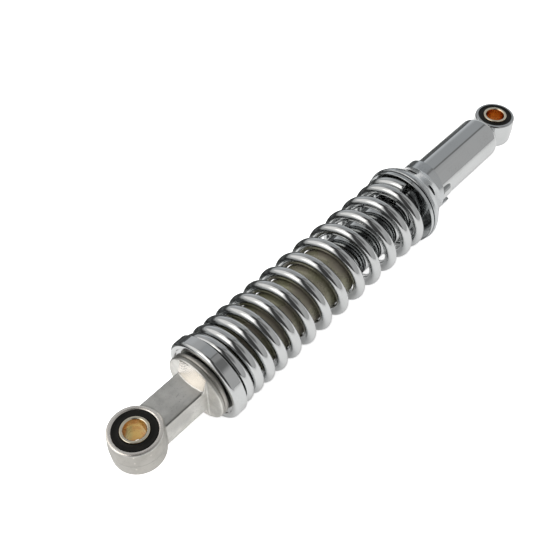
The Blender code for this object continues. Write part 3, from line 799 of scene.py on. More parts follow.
class Finishes:
    """Every material of the shock, by the name of its use."""

    def __init__(self, layout: Layout) -> None:
        """Make the shared effects and the materials."""
        effects = Effects.build()
        eye_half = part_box("head_bush_rubber")[1].z - layout.axis_z
        eye_radius = layout.head_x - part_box("head_casting")[0].x
        self.chrome = Plating("chrome").build(effects)
        self.spring_chrome = Plating("spring_chrome", polish=0.05, haze=0.13,
                                     ripple=0.15).build(effects)
        self.satin_chrome = Plating("satin_chrome", tint=(0.50, 0.515, 0.52),
                                    haze_tint=(0.43, 0.445, 0.445), polish=0.12, haze=0.22,
                                    ripple=0.08).build(effects)
        self.collar_chrome = Plating("collar_chrome", tint=(0.52, 0.535, 0.54),
                                     haze_tint=(0.41, 0.425, 0.43), polish=0.15, haze=0.26,
                                     ripple=0.10).build(effects)
        self.casting = Casting("cast_aluminium", layout, eye_half, eye_radius).build(effects)
        self.coating = Coating("guide_coating").build(effects)
        self.rubber = Rubber("rubber").build(effects)
        self.head_zinc = self._zinc("head", layout, 0.35, effects)
        self.tail_zinc = self._zinc("tail", layout, 0.85, effects)
        self.steel = MachinedMetal("ground_steel", (0.60, 0.60, 0.61),
                                   (0.42, 0.41, 0.40)).build(effects)
        self.bronze = MachinedMetal("bronze", (0.55, 0.37, 0.17), (0.38, 0.25, 0.12),
                                    0.30).build(effects)

    @staticmethod
    def _zinc(end: str, layout: Layout, orange: float, effects: Effects) -> bpy.types.Material:
        """Make one sleeve's zinc, with its painted lip highlight at the sleeve's own ends."""
        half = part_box(end + "_bush_sleeve")[1].z - layout.axis_z
        return YellowZinc(end + "_yellow_zinc", layout.axis_z, half,
                          orange_share=orange).build(effects)


# Sub-assemblies ----------------------------------------------------------------------------------

def hand_over(piece: bpy.types.Object, node: str,
              material: bpy.types.Material) -> bpy.types.Object:
    """Dress a finished piece, let it stand for its frame node and ride that node's body.

    Args:
        piece: The finished mesh object.
        node: The frame node that it replaces.
        material: Its finish.

    Returns:
        The same piece.
    """
    piece.data.materials.clear()
    piece.data.materials.append(material)
    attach(piece, BODY_OF[node])
    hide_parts(node)
    LOG.info("%s: %d faces, for %s", piece.name, len(piece.data.polygons), node)
    return piece


@dataclass
class HeadEnd:
    """The cast head: an eye, a flat arm, a stepped boss, and the chromed spring retainer."""

    layout: Layout
    finishes: Finishes
    eye_draft: float = 0.5          # the eye wall is fuller at mid height
    eye_edge: float = 1.0
    eye_edge_steps: int = 4
    arm_width: float = 20.0
    arm_thickness: float = 18.4
    arm_edge: float = 1.3
    bore_radius: float = 12.4
    arm_into_boss: float = 2.0
    boss_front: float = 42.0        # flat front of the boss, beside the arm
    boss_radius: float = 20.6
    boss_rounding: float = 0.7
    core_radius: float = 4.0        # first and last ring on the lathe, each filled flat
    groove: float = 44.9            # station of the turned groove around the boss
    groove_depth: float = 0.7
    groove_mouth: float = 0.6       # half widths of the groove, outside and at its bottom
    groove_bottom: float = 0.3
    ramp_start: float = 38.2        # where the ramp cone leaves the arm's middle
    ramp_slope: float = 0.34        # station per millimetre of radius
    ramp_low: float = 7.0           # radii where the ramp cone starts and ends
    ramp_top: float = 20.0
    ramp_back: float = 2.0          # from the ramp's back to the back of the boss
    spigot_radius: float = 14.4
    spigot_length: float = 8.8
    grain_size: float = 0.38        # voxel of the casting's skin
    retainer_wall: float = 1.0
    retainer_floor: float = 2.0
    retainer_shoulder: float = 2.4
    retainer_corner: float = 1.4    # rounding inside the cup
    retainer_fit: float = 0.3       # over the spigot
    retainer_rim: float = 0.35      # chamfers of the free rim, outside and inside
    retainer_lip: float = 0.2
    step_clear: float = 1.7         # from the boss to the step pressed around it
    step_shape: Outline = ((1.3, -0.5), (0.55, 0.15), (0.1, 0.5))   # (depth, out from the step)

    def build(self) -> None:
        """Make the casting and the retainer."""
        hand_over(self._casting(), "head_casting", self.finishes.casting)
        hand_over(self._retainer(), "spring_retainer", self.finishes.chrome)

    def _casting(self) -> bpy.types.Object:
        """Join the boss, the arm, the ramp and the eye, and give them a cast skin."""
        layout = self.layout
        cad = layout.span("head_casting")
        on_axis = layout.origin
        boss_end = cad.end - self.spigot_length
        casting = lathe("head_cast_body", [
            (self.boss_front, self.core_radius),
            *arc((self.boss_front + self.boss_rounding, self.boss_radius - self.boss_rounding),
                 self.boss_rounding, 180.0, 90.0),
            (self.groove - self.groove_mouth, self.boss_radius),
            (self.groove - self.groove_bottom, self.boss_radius - self.groove_depth),
            (self.groove + self.groove_bottom, self.boss_radius - self.groove_depth),
            (self.groove + self.groove_mouth, self.boss_radius),
            (boss_end, self.boss_radius),
            (boss_end, self.spigot_radius),
            (cad.end, self.spigot_radius),
            (cad.end, self.core_radius),
        ], Way.ALONG, on_axis, closed=False)
        half_wide, half_thick = self.arm_width / 2.0 * MM, self.arm_thickness / 2.0 * MM
        arm_end = (self.boss_front + self.arm_into_boss) * MM
        arm = block("arm_tool", on_axis - Vector((0.0, half_wide, half_thick)),
                    on_axis + Vector((arm_end, half_wide, half_thick)))
        self._round_arm(arm)
        cut(casting, arm, "UNION")
        cut(casting, self._ramp(on_axis, boss_end), "UNION")
        eye_half = (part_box("head_bush_rubber")[1].z - layout.axis_z) / MM
        eye_radius = (layout.head_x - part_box("head_casting")[0].x) / MM - self.eye_draft
        cut(casting, drum("eye_tool", on_axis, eye_half, eye_radius, self.eye_draft,
                          self.eye_edge, self.eye_edge_steps), "UNION")
        bore_eye(casting, on_axis, eye_half, self.bore_radius)
        apply_modifier(casting, "REMESH", mode="VOXEL", voxel_size=self.grain_size * MM,
                       adaptivity=0.0)
        apply_modifier(casting, "SMOOTH", factor=0.5, iterations=2)
        pick(casting)
        bpy.ops.object.shade_smooth()
        return casting

    def _round_arm(self, arm: bpy.types.Object) -> None:
        """Round the arm's long edges in edit mode."""
        pick(arm)
        bpy.ops.object.mode_set(mode="EDIT")
        bpy.ops.mesh.select_all(action="DESELECT")
        mesh = bmesh.from_edit_mesh(arm.data)
        for edge in mesh.edges:
            first, second = edge.verts
            edge.select_set(abs((first.co - second.co).normalized().x) > 0.9)
        bmesh.update_edit_mesh(arm.data)
        bpy.ops.mesh.bevel(offset=self.arm_edge * MM, segments=5, affect="EDGES")
        bpy.ops.object.mode_set(mode="OBJECT")

    def _ramp(self, on_axis: Vector, boss_end: float) -> bpy.types.Object:
        """Make the ramp between the arm and the boss rim: a cone as wide as the arm."""
        leave = self.ramp_start - self.ramp_slope * self.arm_thickness / 2.0
        back = boss_end - self.ramp_back
        ramp = lathe("ramp_tool", [
            (leave + self.ramp_slope * self.ramp_low, self.ramp_low),
            (leave + self.ramp_slope * self.ramp_top, self.ramp_top),
            (back, self.ramp_top),
            (back, self.ramp_low),
        ], Way.ALONG, on_axis, closed=False)
        half = self.arm_width / 2.0 * MM
        reach = self.boss_radius * 2.0 * MM
        keep = block("ramp_keep", on_axis + Vector((0.0, -half, -reach)),
                     on_axis + Vector((boss_end * MM, half, reach)))
        cut(ramp, keep, "INTERSECT")
        return ramp

    def _retainer(self) -> bpy.types.Object:
        """Make the pressed cup: a stepped face, a rolled shoulder and a thin wall."""
        cad = self.layout.span("spring_retainer")
        shoulder = self.retainer_shoulder
        inner = cad.radius - self.retainer_wall
        hole = self.spigot_radius + self.retainer_fit
        step = self.boss_radius + self.step_clear
        floor = cad.start + self.retainer_floor
        corner = self.retainer_corner
        piece = lathe("spring_retainer_cup", [
            (cad.start + self.step_shape[0][0], hole),
            *((cad.start + depth, step + out) for depth, out in self.step_shape),
            *arc((cad.start + shoulder, cad.radius - shoulder), shoulder, 180.0, 90.0, 8)[1:],
            (cad.end - self.retainer_rim, cad.radius),
            (cad.end, cad.radius - self.retainer_rim),
            (cad.end, inner + self.retainer_lip),
            (cad.end - self.retainer_lip, inner),
            *arc((floor + corner, inner - corner), corner, 90.0, 180.0, 4),
            (floor, hole),
        ], Way.ALONG, self.layout.origin)
        round_edges(piece, width=0.12, segments=2)
        smooth(piece)
        return piece


@dataclass
class EyeBush:
    """One eye's rubber ring and its steel sleeve."""

    layout: Layout
    finishes: Finishes
    end: str
    sleeve_bore: float = 6.1
    sleeve_wall: float = 1.9
    sleeve_chamfer: float = 0.3
    mouth: float = 0.55             # chamfer inside the sleeve's ends
    gap: float = 0.12               # rubber to sleeve
    press: float = 0.3              # rubber past its frame shape, into the eye's wall
    lip: float = 0.5                # rounding of the rubber's two lips
    outer_lip_drop: float = 0.75    # the lips and the dish under the eye's face
    inner_lip_drop: float = 0.45
    dish_drops: tuple[float, float] = (0.65, 0.62)
    dish_margin: float = 0.32       # share of the rubber's width that each lip takes

    def build(self) -> None:
        """Make both pieces."""
        low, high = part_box(self.end + "_bush_rubber")
        centre = Vector(((low.x + high.x) / 2.0, 0.0, self.layout.axis_z))
        sleeve_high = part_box(self.end + "_bush_sleeve")[1].z
        rubber = self._rubber(centre, (high.z - centre.z) / MM, (high.x - low.x) / 2.0 / MM)
        sleeve = self._sleeve(centre, (sleeve_high - centre.z) / MM)
        hand_over(rubber, self.end + "_bush_rubber", self.finishes.rubber)
        zinc = self.finishes.head_zinc if self.end == "head" else self.finishes.tail_zinc
        hand_over(sleeve, self.end + "_bush_sleeve", zinc)

    def _rubber(self, centre: Vector, half: float, outer: float) -> bpy.types.Object:
        """Make the ring: moulded lips at both rims with a shallow dish between them."""
        outer += self.press - self.gap
        inner = self.sleeve_bore + self.sleeve_wall + self.gap
        margin = self.dish_margin * (outer - inner)
        rim = half - self.outer_lip_drop
        face = [(rim, outer), *arc((rim, outer - self.lip), self.lip, 60.0, 0.0, 3),
                (half - self.dish_drops[0], outer - margin),
                (half - self.dish_drops[1], inner + margin),
                *arc((half - self.inner_lip_drop, inner + self.lip), self.lip, 0.0, -90.0, 4)]
        piece = lathe(self.end + "_bush_rubber_ring", [*face, *mirrored(face)], Way.UPRIGHT, centre)
        smooth(piece, sharper_than=60.0)
        return piece

    def _sleeve(self, centre: Vector, half: float) -> bpy.types.Object:
        """Make the tube, chamfered outside and flared inside at both ends."""
        bore, outer = self.sleeve_bore, self.sleeve_bore + self.sleeve_wall
        top = [(half - self.sleeve_chamfer, outer), (half, outer - self.sleeve_chamfer),
               (half, bore + self.mouth), (half - self.mouth, bore)]
        piece = lathe(self.end + "_bush_sleeve_tube", [*top, *mirrored(top)], Way.UPRIGHT, centre)
        round_edges(piece, width=0.12, segments=2, sharper_than=25.0)
        smooth(piece)
        return piece


@dataclass
class SpringPack:
    """The coil spring and the guide tube inside it."""

    layout: Layout
    finishes: Finishes
    wire: float = 3.6
    turns: float = 13.55
    closed_turns: float = 0.9
    ramp_turns: float = 6.7         # turns over which the pitch opens
    close_play: float = 0.4
    start_angle: float = 261.0
    steps_per_turn: int = 72
    wire_sides: int = 7             # Blender's bevel resolution of the wire
    cut_edge: float = 0.5           # rounding of the wire's two cut ends
    guide_wall: float = 1.2
    guide_lip: float = 5.5
    guide_flange: float = 1.2
    guide_corner: float = 1.0
    guide_end: float = 0.5          # chamfer of the free end

    def build(self) -> None:
        """Make both pieces."""
        spring = self._spring()
        hand_over(spring, "coil_spring", self.finishes.spring_chrome)
        hand_over(self._guide(), "guide_tube", self.finishes.coating)
        cad = self.layout.span("coil_spring")
        seat = self.layout.place(cad.end, 0.0, 0.0)
        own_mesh(spring)

    def _opened(self, turn: float) -> float:
        """Give how far the pitch has opened at a turn, from 0 to 1."""
        into = (turn - self.closed_turns) / self.ramp_turns
        left = 2.0 * (self.turns - self.closed_turns - turn)
        return max(0.0, min(1.0, into, left))

    def _stations(self) -> list[tuple[float, float]]:
        """Give (turn, station) along the wire's middle."""
        cad = self.layout.span("coil_spring")
        first, last = cad.start + self.wire, cad.end - self.wire
        steps = round(self.turns * self.steps_per_turn)
        turns = [self.turns * index / steps for index in range(steps + 1)]
        more = [0.0]
        for before, after in zip(turns, turns[1:]):
            more.append(more[-1] + self._opened((before + after) / 2.0) * (after - before))
        close = 2.0 * self.wire + self.close_play
        rest = (last - first - close * self.turns) / more[-1]
        return [(turn, first + close * turn + rest * extra) for turn, extra in zip(turns, more)]

    def _spring(self) -> bpy.types.Object:
        """Sweep the round wire along its winding, and round its two cut ends."""
        cad = self.layout.span("coil_spring")
        mean = cad.radius - self.wire
        places = self._stations()
        clear_selection()
        bpy.ops.curve.primitive_nurbs_path_add()
        path = bpy.context.object
        path.name = "coil_spring_wire"
        curve = path.data
        curve.splines.clear()
        spline = curve.splines.new("POLY")
        spline.points.add(len(places) - 1)
        for point, (turn, station) in zip(spline.points, places):
            place = self.layout.place(station, mean, self.start_angle + 360.0 * turn)
            point.co = (*place, 1.0)
        curve.twist_mode = "MINIMUM"
        curve.bevel_depth = self.wire * MM
        curve.bevel_resolution = self.wire_sides
        curve.use_fill_caps = True
        pick(path)
        bpy.ops.object.convert(target="MESH")
        piece = bpy.context.object
        piece.name = "coil_spring_wire"
        settle(piece)
        mend(piece)
        round_edges(piece, self.cut_edge, sharper_than=60.0)
        pick(piece)
        bpy.ops.object.shade_smooth_by_angle(angle=math.radians(50.0))
        return piece

    def _guide(self) -> bpy.types.Object:
        """Make the guide tube with its clamped flange and a rounded free end."""
        cad = self.layout.span("guide_tube")
        flange = cad.radius
        tube = flange - self.guide_lip
        bore = tube - self.guide_wall
        back = cad.start + self.guide_flange
        corner = self.guide_corner
        piece = lathe("guide_tube_sleeve", [
            (cad.start, bore), (cad.start, flange), (back, flange),
            *arc((back + corner, tube + corner), corner, 180.0, 270.0, 4),
            (cad.end - self.guide_end, tube), (cad.end, tube - self.guide_end), (cad.end, bore),
        ], Way.ALONG, self.layout.origin)
        round_edges(piece, width=0.2, segments=2)
        smooth(piece)
        return piece


@dataclass
class TailEnd:
    """The chromed body tube, its two cam lugs and the welded tail eye."""

    layout: Layout
    finishes: Finishes
    body_wall: float = 1.6
    shoulder: float = 5.8
    shoulder_rounding: float = 5.5
    shoulder_steps: int = 14
    mouth: float = 0.4              # chamfer at the tube's open end
    floor: float = 3.0
    floor_hole: float = 1.0
    neck_radius: float = 8.0
    neck_edge: tuple[float, float] = (0.3, 0.4)     # chamfer along and around the neck
    neck_length: float = 6.0
    groove_place: float = 1.4       # from the neck's end to the middle of its groove
    groove_half: float = 0.9
    groove_depth: float = 1.3
    groove_bottom: float = 0.7      # rounding at the groove's bottom
    eye_draft: float = 0.5
    eye_edge: float = 1.2
    eye_edge_steps: int = 5
    bore_radius: float = 11.6
    lug_angle: float = 170.0
    lug_span: float = 22.0
    lug_height: float = 2.6
    lug_fit: float = 0.05           # from the tube to the lug
    lug_cuts: int = 15
    lug_crown: float = 0.4          # share of its height that a lug loses at its sides
    lug_tail: tuple[float, float] = (0.72, 0.75)    # where its back starts to fall, and how far
    lug_nose: tuple[float, float] = (0.1, 0.2)      # where its front stops rising, and how far
    cam_lift: float = 3.0           # millimetres per radian

    def build(self) -> None:
        """Make the tube, the eye and the lugs."""
        chrome = self.finishes.chrome
        hand_over(self._body(), "body_tube", chrome)
        hand_over(self._eye(), "tail_eye", chrome)
        for node, degrees in (("cam_lug_a", self.lug_angle), ("cam_lug_b", self.lug_angle + 180.0)):
            hand_over(self._lug(node, degrees), node, chrome)

    def _body(self) -> bpy.types.Object:
        """Make the tube: open at the rod end, rounded and closed at the tail."""
        cad = self.layout.span("body_tube")
        bore = cad.radius - self.body_wall
        flat = cad.radius - self.shoulder_rounding
        begin, inside = cad.end - self.shoulder, cad.end - self.floor
        rounding = []
        for index in range(self.shoulder_steps + 1):
            turn = math.radians(90.0) * index / self.shoulder_steps
            rounding.append((begin + self.shoulder * math.sin(turn),
                             flat + self.shoulder_rounding * math.cos(turn)))
        piece = lathe("body_tube_shell", [
            (cad.start, bore), (cad.start, cad.radius - self.mouth),
            (cad.start + self.mouth, cad.radius), *rounding,
            (cad.end, self.floor_hole), (inside, self.floor_hole),
            (inside, flat - self.body_wall), (begin, bore),
        ], Way.ALONG, self.layout.origin)
        smooth(piece, sharper_than=45.0)
        return piece

    def _eye(self) -> bpy.types.Object:
        """Make the eye on its grooved neck."""
        layout = self.layout
        low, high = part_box("tail_eye")
        centre = Vector((layout.tail_x, 0.0, layout.axis_z))
        half = (high.z - low.z) / 2.0 / MM
        radius = (high.x - layout.tail_x) / MM - self.eye_draft
        eye = drum("tail_eye_drum", centre, half, radius, self.eye_draft, self.eye_edge,
                   self.eye_edge_steps)
        start = (low.x - layout.head_x) / MM
        neck = self.neck_radius
        groove = start + self.groove_place
        bottom = self.groove_bottom
        stem = lathe("neck_tool", [
            (start, neck - self.neck_edge[1]), (start + self.neck_edge[0], neck),
            (groove - self.groove_half, neck),
            *arc((groove, neck - self.groove_depth + bottom), bottom, 200.0, 340.0, 6),
            (groove + self.groove_half, neck), (start + self.neck_length, neck),
        ], Way.ALONG, layout.origin, closed=False)
        cut(eye, stem, "UNION")
        bore_eye(eye, centre, half, self.bore_radius)
        mend(eye)
        smooth(eye, sharper_than=40.0)
        return eye

    def _lug(self, node: str, degrees: float) -> bpy.types.Object:
        """Make one lug: a rounded block, wrapped onto the tube, with a sloping cam face.

        Args:
            node: The frame node that it stands for.
            degrees: Its angle about the axis.

        Returns:
            The lug.
        """
        layout = self.layout
        cad = layout.span(node)
        inner = layout.span("body_tube").radius + self.lug_fit
        half_turn = math.radians(self.lug_span / 2.0)
        slope = self.cam_lift * half_turn
        start, end = cad.start + slope, cad.end
        piece = block(node + "_block", Vector((start, -1.0, 0.0)), Vector((end, 1.0, 1.0)))
        pick(piece)
        bpy.ops.object.mode_set(mode="EDIT")
        bpy.ops.mesh.select_all(action="SELECT")
        bpy.ops.mesh.subdivide(number_cuts=self.lug_cuts)
        bpy.ops.object.mode_set(mode="OBJECT")

        fall_from, fall = self.lug_tail
        rise_to, rise = self.lug_nose

        def wrap(point: Vector) -> Vector:
            """Bend one point of the unit block onto the tube."""
            share = (point.x - start) / (end - start)
            crown = 1.0 - self.lug_crown * (1.0 - math.sqrt(max(0.0, 1.0 - point.y ** 2)))
            tail = 1.0 - fall * max(0.0, (share - fall_from) / (1.0 - fall_from)) ** 2
            nose = 1.0 - rise * max(0.0, (rise_to - share) / rise_to) ** 2
            station = point.x - slope * point.y * (1.0 - share)
            radius = inner + self.lug_height * point.z * crown * tail * nose
            return layout.place(station, radius, degrees + math.degrees(half_turn) * point.y)

        edit_points(piece, wrap)
        mend(piece)
        round_edges(piece, width=0.3, segments=3, sharper_than=40.0)
        smooth(piece, sharper_than=40.0)
        return piece


@dataclass
class Preload:
    """The spring seat and the flared cam collar that turns on the lugs."""

    layout: Layout
    finishes: Finishes
    seat_wall: float = 0.7
    seat_floor: float = 1.2
    seat_edge: float = 0.7
    slide_gap: float = 0.5          # over the body tube
    flange: float = 2.6
    flange_face: float = 2.4        # from the flange's rim to where it meets the seat
    flange_front: float = 0.6       # roundings of the flange's rim
    flange_back: float = 0.8
    sheet: float = 1.8
    flare: float = 16.6
    flare_steps: int = 12
    flare_bow: float = 0.9          # how far the flare is spun inwards of a plain cone
    inside_start: float = 0.4       # the inside against the outside, in sheet thicknesses
    inside_depth: float = 1.15
    collar_wall: float = 2.2
    sleeve: float = 3.1             # end of the flare to the lowest place on the cam edge
    hole_count: int = 8
    hole_length: float = 8.0
    hole_width: float = 4.8
    hole_phase: float = 40.5
    hole_place: float = 0.37        # share of the flare
    drill_sides: int = 32
    drill_length: float = 7.0
    lug_angle: float = 170.0
    cam_lift: float = 3.0
    cam_swing: float = 120.0
    cam_run_in: float = 20.0
    collar_sides: int = 240

    def build(self) -> None:
        """Make the seat and the collar."""
        hand_over(self._seat(), "spring_seat", self.finishes.satin_chrome)
        hand_over(self._collar(), "adjuster_collar", self.finishes.collar_chrome)

    def _seat(self) -> bpy.types.Object:
        """Make the shallow cup around the spring's last turn."""
        cad = self.layout.span("spring_seat")
        hole = self.layout.span("body_tube").radius + self.slide_gap
        inner = cad.radius - self.seat_wall
        lip = self.seat_wall / 2.0
        piece = lathe("spring_seat_cup", [
            *arc((cad.start + lip, inner + lip), lip, 270.0, 90.0, 6),
            *arc((cad.end - self.seat_edge, cad.radius - self.seat_edge), self.seat_edge,
                 90.0, 0.0, 4),
            (cad.end, hole), (cad.end - self.seat_floor, hole),
            (cad.end - self.seat_floor, inner),
        ], Way.ALONG, self.layout.origin)
        smooth(piece, sharper_than=45.0)
        return piece

    def _cam_edge(self, degrees: float, lowest: float) -> float:
        """Give the free edge's station at an angle: a ramp each half turn, then a stop tooth.

        Args:
            degrees: Angle about the axis.
            lowest: Station of the edge where the ramp starts.

        Returns:
            The station in millimetres.
        """
        ahead = (self.lug_angle - degrees + self.cam_run_in) % 180.0 - self.cam_run_in
        return lowest + self.cam_lift * math.radians(min(ahead, self.cam_swing + self.cam_run_in))

    def _collar(self) -> bpy.types.Object:
        """Make the collar: flange, spun flare, cam sleeve and oblong spanner holes."""
        layout = self.layout
        cad = layout.span("adjuster_collar")
        bore = layout.span("body_tube").radius + self.slide_gap
        outer = bore + self.collar_wall
        flange_end = cad.start + self.flange
        flare_end = flange_end + self.flare
        lowest = flare_end + self.sleeve
        drop = cad.radius - outer
        inside_from = flange_end - self.sheet * self.inside_start
        inside_run = self.flare - self.sheet * (1.0 - self.inside_start)
        outside, inside = [], []
        for index in range(self.flare_steps + 1):
            share = index / self.flare_steps
            bow = drop * (1.0 - share) - self.flare_bow * math.sin(math.pi * share) * share
            outside.append((flange_end + self.flare * share, outer + bow))
            inside.append((inside_from + inside_run * share,
                           max(bore, outer + bow - self.sheet * self.inside_depth)))
        front, back = self.flange_front, self.flange_back
        piece = lathe("adjuster_collar_cone", [
            (cad.start, cad.radius - self.flange_face),
            *arc((cad.start + front, cad.radius - front), front, 180.0, 90.0, 4),
            *arc((flange_end - back, cad.radius - back), back, 90.0, 35.0, 4),
            *outside[1:],
            (lowest, outer), (lowest, bore),
            *reversed(inside),
        ], Way.ALONG, layout.origin, sides=self.collar_sides)
        edge_x = layout.place(lowest, 0.0, 0.0).x

        def lift(point: Vector) -> Vector:
            """Move a point of the free edge onto the cam."""
            if abs(point.x - edge_x) > 1e-6:
                return point
            _, radius, degrees = layout.polar(point)
            return layout.place(self._cam_edge(degrees, lowest), radius, degrees)

        edit_points(piece, lift)
        hole_station = flange_end + self.hole_place * self.flare
        hole_radius = outer + drop * (1.0 - self.hole_place) - self.sheet / 2.0
        cut(piece, self._holes(hole_station, hole_radius, drop / self.flare))
        mend(piece)
        round_edges(piece, width=0.18, segments=2, sharper_than=50.0)
        smooth(piece, sharper_than=40.0)
        return piece

    def _holes(self, station: float, radius: float, slope: float) -> bpy.types.Object:
        """Make the cutter for the oblong holes: one drill, modelled once and copied around.

        Args:
            station: Station of the holes' centres.
            radius: Their distance from the axis.
            slope: Fall of the flare, radius per station.

        Returns:
            One object with every drill in it.
        """
        drills = []
        for index in range(self.hole_count):
            degrees = self.hole_phase + 360.0 * index / self.hole_count
            clear_selection()
            bpy.ops.mesh.primitive_cylinder_add(vertices=self.drill_sides, radius=0.5 * MM,
                                                depth=self.drill_length * MM)
            drill = bpy.context.object
            turn = math.radians(degrees)
            outward = Vector((slope, math.cos(turn), math.sin(turn))).normalized()
            around = Vector((0.0, -math.sin(turn), math.cos(turn)))
            along = around.cross(outward)
            basis = Matrix((around * self.hole_length, along * self.hole_width, outward)).transposed()
            centre = self.layout.place(station, radius, degrees)
            drill.matrix_world = Matrix.Translation(centre) @ basis.to_4x4()
            settle(drill)
            drills.append(drill)
        clear_selection()
        for drill in drills:
            drill.select_set(True)
        bpy.context.view_layer.objects.active = drills[0]
        bpy.ops.object.join()
        mend(drills[0])
        return drills[0]


@dataclass
class Internals:
    """The hidden damper parts, which keep their frame shapes and get real finishes."""

    finishes: Finishes
    rubber_nodes: tuple[str, ...] = ("bump_stop", "rebound_buffer", "oil_seal")
    bronze_nodes: tuple[str, ...] = ("piston_ring", "rod_guide", "base_valve")
    steel_nodes: tuple[str, ...] = ("rod_locknut", "piston_rod", "piston", "piston_nut",
                                    "gland_nut", "inner_cylinder")

    def build(self) -> None:
        """Dress every hidden node."""
        for nodes, material in ((self.rubber_nodes, self.finishes.rubber),
                                (self.bronze_nodes, self.finishes.bronze),
                                (self.steel_nodes, self.finishes.steel)):
            for node in nodes:
                mesh = frame["nodes"][node].data
                mesh.materials.clear()
                mesh.materials.append(material)
                LOG.info("%s: dressed in %s", node, material.name)


# Studio ------------------------------------------------------------------------------------------

@dataclass(frozen=True)
class Card:
    """A light or dark card on the studio's dome: place, size and softness in degrees."""

    azimuth: float
    elevation: float
    width: float
    height: float
    level: float
    softness: float = 6.0
    warmth: float = 0.0


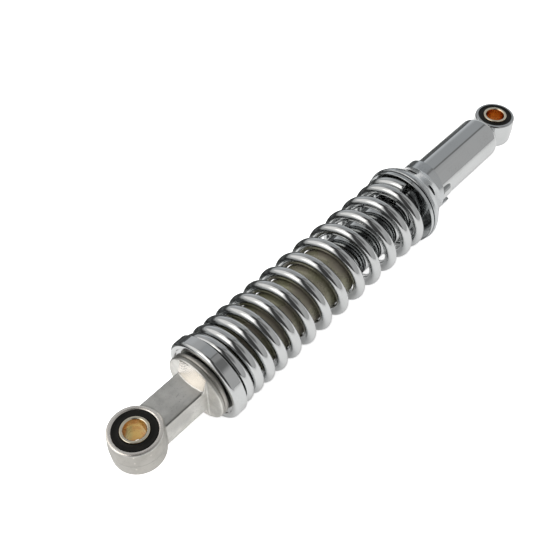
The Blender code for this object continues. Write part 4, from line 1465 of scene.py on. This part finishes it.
@dataclass
class Studio:
    """The floor, the dome with its cards, the lamps and the camera."""

    layout: Layout
    eye: tuple[float, float, float] = (-0.2801, -0.1954, 0.4094)
    look: tuple[float, float, float] = (0.4819, 0.4325, -0.7621)
    lens: float = 54.24
    dome_level: float = 0.55
    cards: tuple[Card, ...] = (                             # a later card lies over an earlier one
        Card(-70.0, 26.0, 124.0, 64.0, 0.56, 22.0),         # grey side wall at -Y
        Card(0.0, 78.0, 720.0, 56.0, 0.36, 14.0),           # grey ceiling, all round
        Card(-62.0, 60.0, 62.0, 32.0, 0.21, 16.0),          # darker patch, high at -Y
        Card(0.0, 93.0, 720.0, 34.0, 0.05, 8.0),            # dark zenith
        Card(-143.0, 34.0, 52.0, 84.0, 0.07, 8.0),          # dark wall behind the camera
        Card(36.0, 0.0, 64.0, 46.0, 0.72, 16.0, -0.03),     # pale low wall past the tail
        Card(30.0, 44.0, 54.0, 52.0, 0.46, 18.0, -0.03),    # grey wall above it
        Card(3.0, 52.0, 9.0, 44.0, 0.24, 4.0),              # narrow dark post past the tail
        Card(142.0, 40.0, 86.0, 60.0, 1.15, 8.0, 0.02),     # main soft light, past the head at +Y
        Card(158.0, 42.0, 40.0, 32.0, 2.3, 8.0, 0.03),      # its brighter middle
    )
    floor_size: float = 8.0
    floor_drop: float = 0.05        # under the shock, so that the two never touch
    floor_fill: float = 0.22        # light that the floor gives even in the shadows
    floor_glow: float = 0.55        # extra white of the floor, for the camera alone
    lamp_height: float = 0.8
    lamp_size: float = 0.7
    lamp_power: float = 4.2
    lamp_x: float = -0.08
    backdrop: float = 0.97          # brightness of the dome for the camera alone
    bar_start: float = -20.0        # stations of the reflected bar
    bar_past_tail: float = 25.0
    bar_radius: float = 22.0
    bar_rounding: float = 0.4       # share of its radius
    bar_sides: int = 64
    bar_y: float = 0.060

    def build(self) -> None:
        """Set up the whole studio."""
        self._floor()
        self._dome()
        self._fill()
        self._reflected_bar()
        self._camera()
        bpy.context.scene.view_settings.view_transform = "Standard"

    def _floor(self) -> None:
        """Lay a pale, faintly lit floor under the shock."""
        clear_selection()
        bpy.ops.mesh.primitive_plane_add(size=self.floor_size, location=(0.0, 0.0, -self.floor_drop * MM))
        floor = bpy.context.object
        floor.name = "studio_floor"
        material, tree, shader = start_material("pale_floor", metallic=0.0, roughness=0.7)
        shader.inputs["Base Color"].default_value = rgba((0.86, 0.86, 0.86))
        shader.inputs["Specular IOR Level"].default_value = 0.1
        shader.inputs["Emission Color"].default_value = rgba((1.0, 1.0, 1.0))
        seen = tree.add("LightPath").outputs["Is Camera Ray"]
        glow = tree.math("MULTIPLY_ADD", seen, self.floor_glow, self.floor_fill)
        tree.feed(glow, shader.inputs["Emission Strength"])
        floor.data.materials.append(material)

    def _dome(self) -> None:
        """Paint the dome: a soft grey with the cards on it, by direction."""
        world = bpy.data.worlds.new("studio_dome")
        bpy.context.scene.world = world
        world.use_nodes = True
        tree = Tree(world.node_tree)
        way = tree.add("TexCoord").outputs["Generated"]
        parts = tree.add("SeparateXYZ", None, Vector=way)
        azimuth = tree.math("ARCTAN2", parts.outputs["Y"], parts.outputs["X"])
        elevation = tree.math("ARCSINE", parts.outputs["Z"])
        colour: object = rgba((self.dome_level, self.dome_level * 1.01, self.dome_level * 1.02))
        for card in self.cards:
            aside = tree.math("ABSOLUTE", tree.math(
                "WRAP", tree.math("SUBTRACT", azimuth, math.radians(card.azimuth)),
                math.pi, -math.pi))
            above = tree.away(elevation, math.radians(card.elevation))
            soft = math.radians(card.softness)
            wide = tree.within(aside, (math.radians(card.width) - soft) / 2.0, soft)
            tall = tree.within(above, (math.radians(card.height) - soft) / 2.0, soft)
            tone = (card.level * (1.0 + card.warmth), card.level, card.level * (1.0 - card.warmth))
            colour = tree.mix(tree.times(wide, tall), colour, rgba(tone))
        seen = tree.add("LightPath").outputs["Is Camera Ray"]
        colour = tree.mix(seen, colour, rgba((self.backdrop, self.backdrop, self.backdrop)))
        tree.feed(colour, world.node_tree.nodes["Background"].inputs["Color"])

    def _fill(self) -> None:
        """Hang a broad overhead lamp that lights the floor but shows in no reflection."""
        lamp = bpy.data.lights.new("overhead_fill", "AREA")
        lamp.shape = "RECTANGLE"
        lamp.size, lamp.size_y = self.lamp_size, self.lamp_size
        lamp.energy = self.lamp_power
        holder = bpy.data.objects.new("overhead_fill", lamp)
        holder.location = (self.lamp_x, 0.0, self.lamp_height)
        holder.visible_glossy = False
        bpy.context.scene.collection.objects.link(holder)

    def _reflected_bar(self) -> None:
        """Lay a round grey bar beside the shock, seen only in reflections."""
        start, end = self.bar_start, self.layout.eye_to_eye + self.bar_past_tail
        rounding = self.bar_radius * self.bar_rounding
        cap = arc((end - rounding, self.bar_radius - rounding), rounding, 90.0, 0.0)
        near = [(start + end - along, radius) for along, radius in reversed(cap)]
        bar = lathe("reflected_bar", [*near, *cap], Way.ALONG,
                    self.layout.origin + Vector((0.0, self.bar_y, 0.0)), sides=self.bar_sides,
                    closed=False)
        smooth(bar, sharper_than=60.0)
        material, _, shader = start_material("reflected_bar", metallic=0.9, roughness=0.25)
        shader.inputs["Base Color"].default_value = rgba((0.26, 0.27, 0.27))
        bar.data.materials.append(material)
        bar.visible_camera = False
        bar.visible_diffuse = False
        bar.visible_shadow = False

    def _camera(self) -> None:
        """Place the camera."""
        lens = bpy.data.cameras.new("camera")
        lens.lens = self.lens
        lens.sensor_width = 36.0
        lens.clip_start = 0.01
        camera = bpy.data.objects.new("camera", lens)
        camera.location = self.eye
        camera.rotation_euler = Vector(self.look).to_track_quat("-Z", "Y").to_euler()
        bpy.context.scene.collection.objects.link(camera)
        bpy.context.scene.camera = camera


# Assembly ----------------------------------------------------------------------------------------

def main() -> None:
    """Build the shock absorber, piece by piece, and its studio."""
    logging.basicConfig(level=logging.INFO, format="%(message)s")
    layout = Layout.from_frame()
    finishes = Finishes(layout)
    HeadEnd(layout, finishes).build()
    EyeBush(layout, finishes, "head").build()
    EyeBush(layout, finishes, "tail").build()
    SpringPack(layout, finishes).build()
    TailEnd(layout, finishes).build()
    Preload(layout, finishes).build()
    Internals(finishes).build()
    Studio(layout).build()
    clear_selection()


if __name__ == "__main__":
    main()
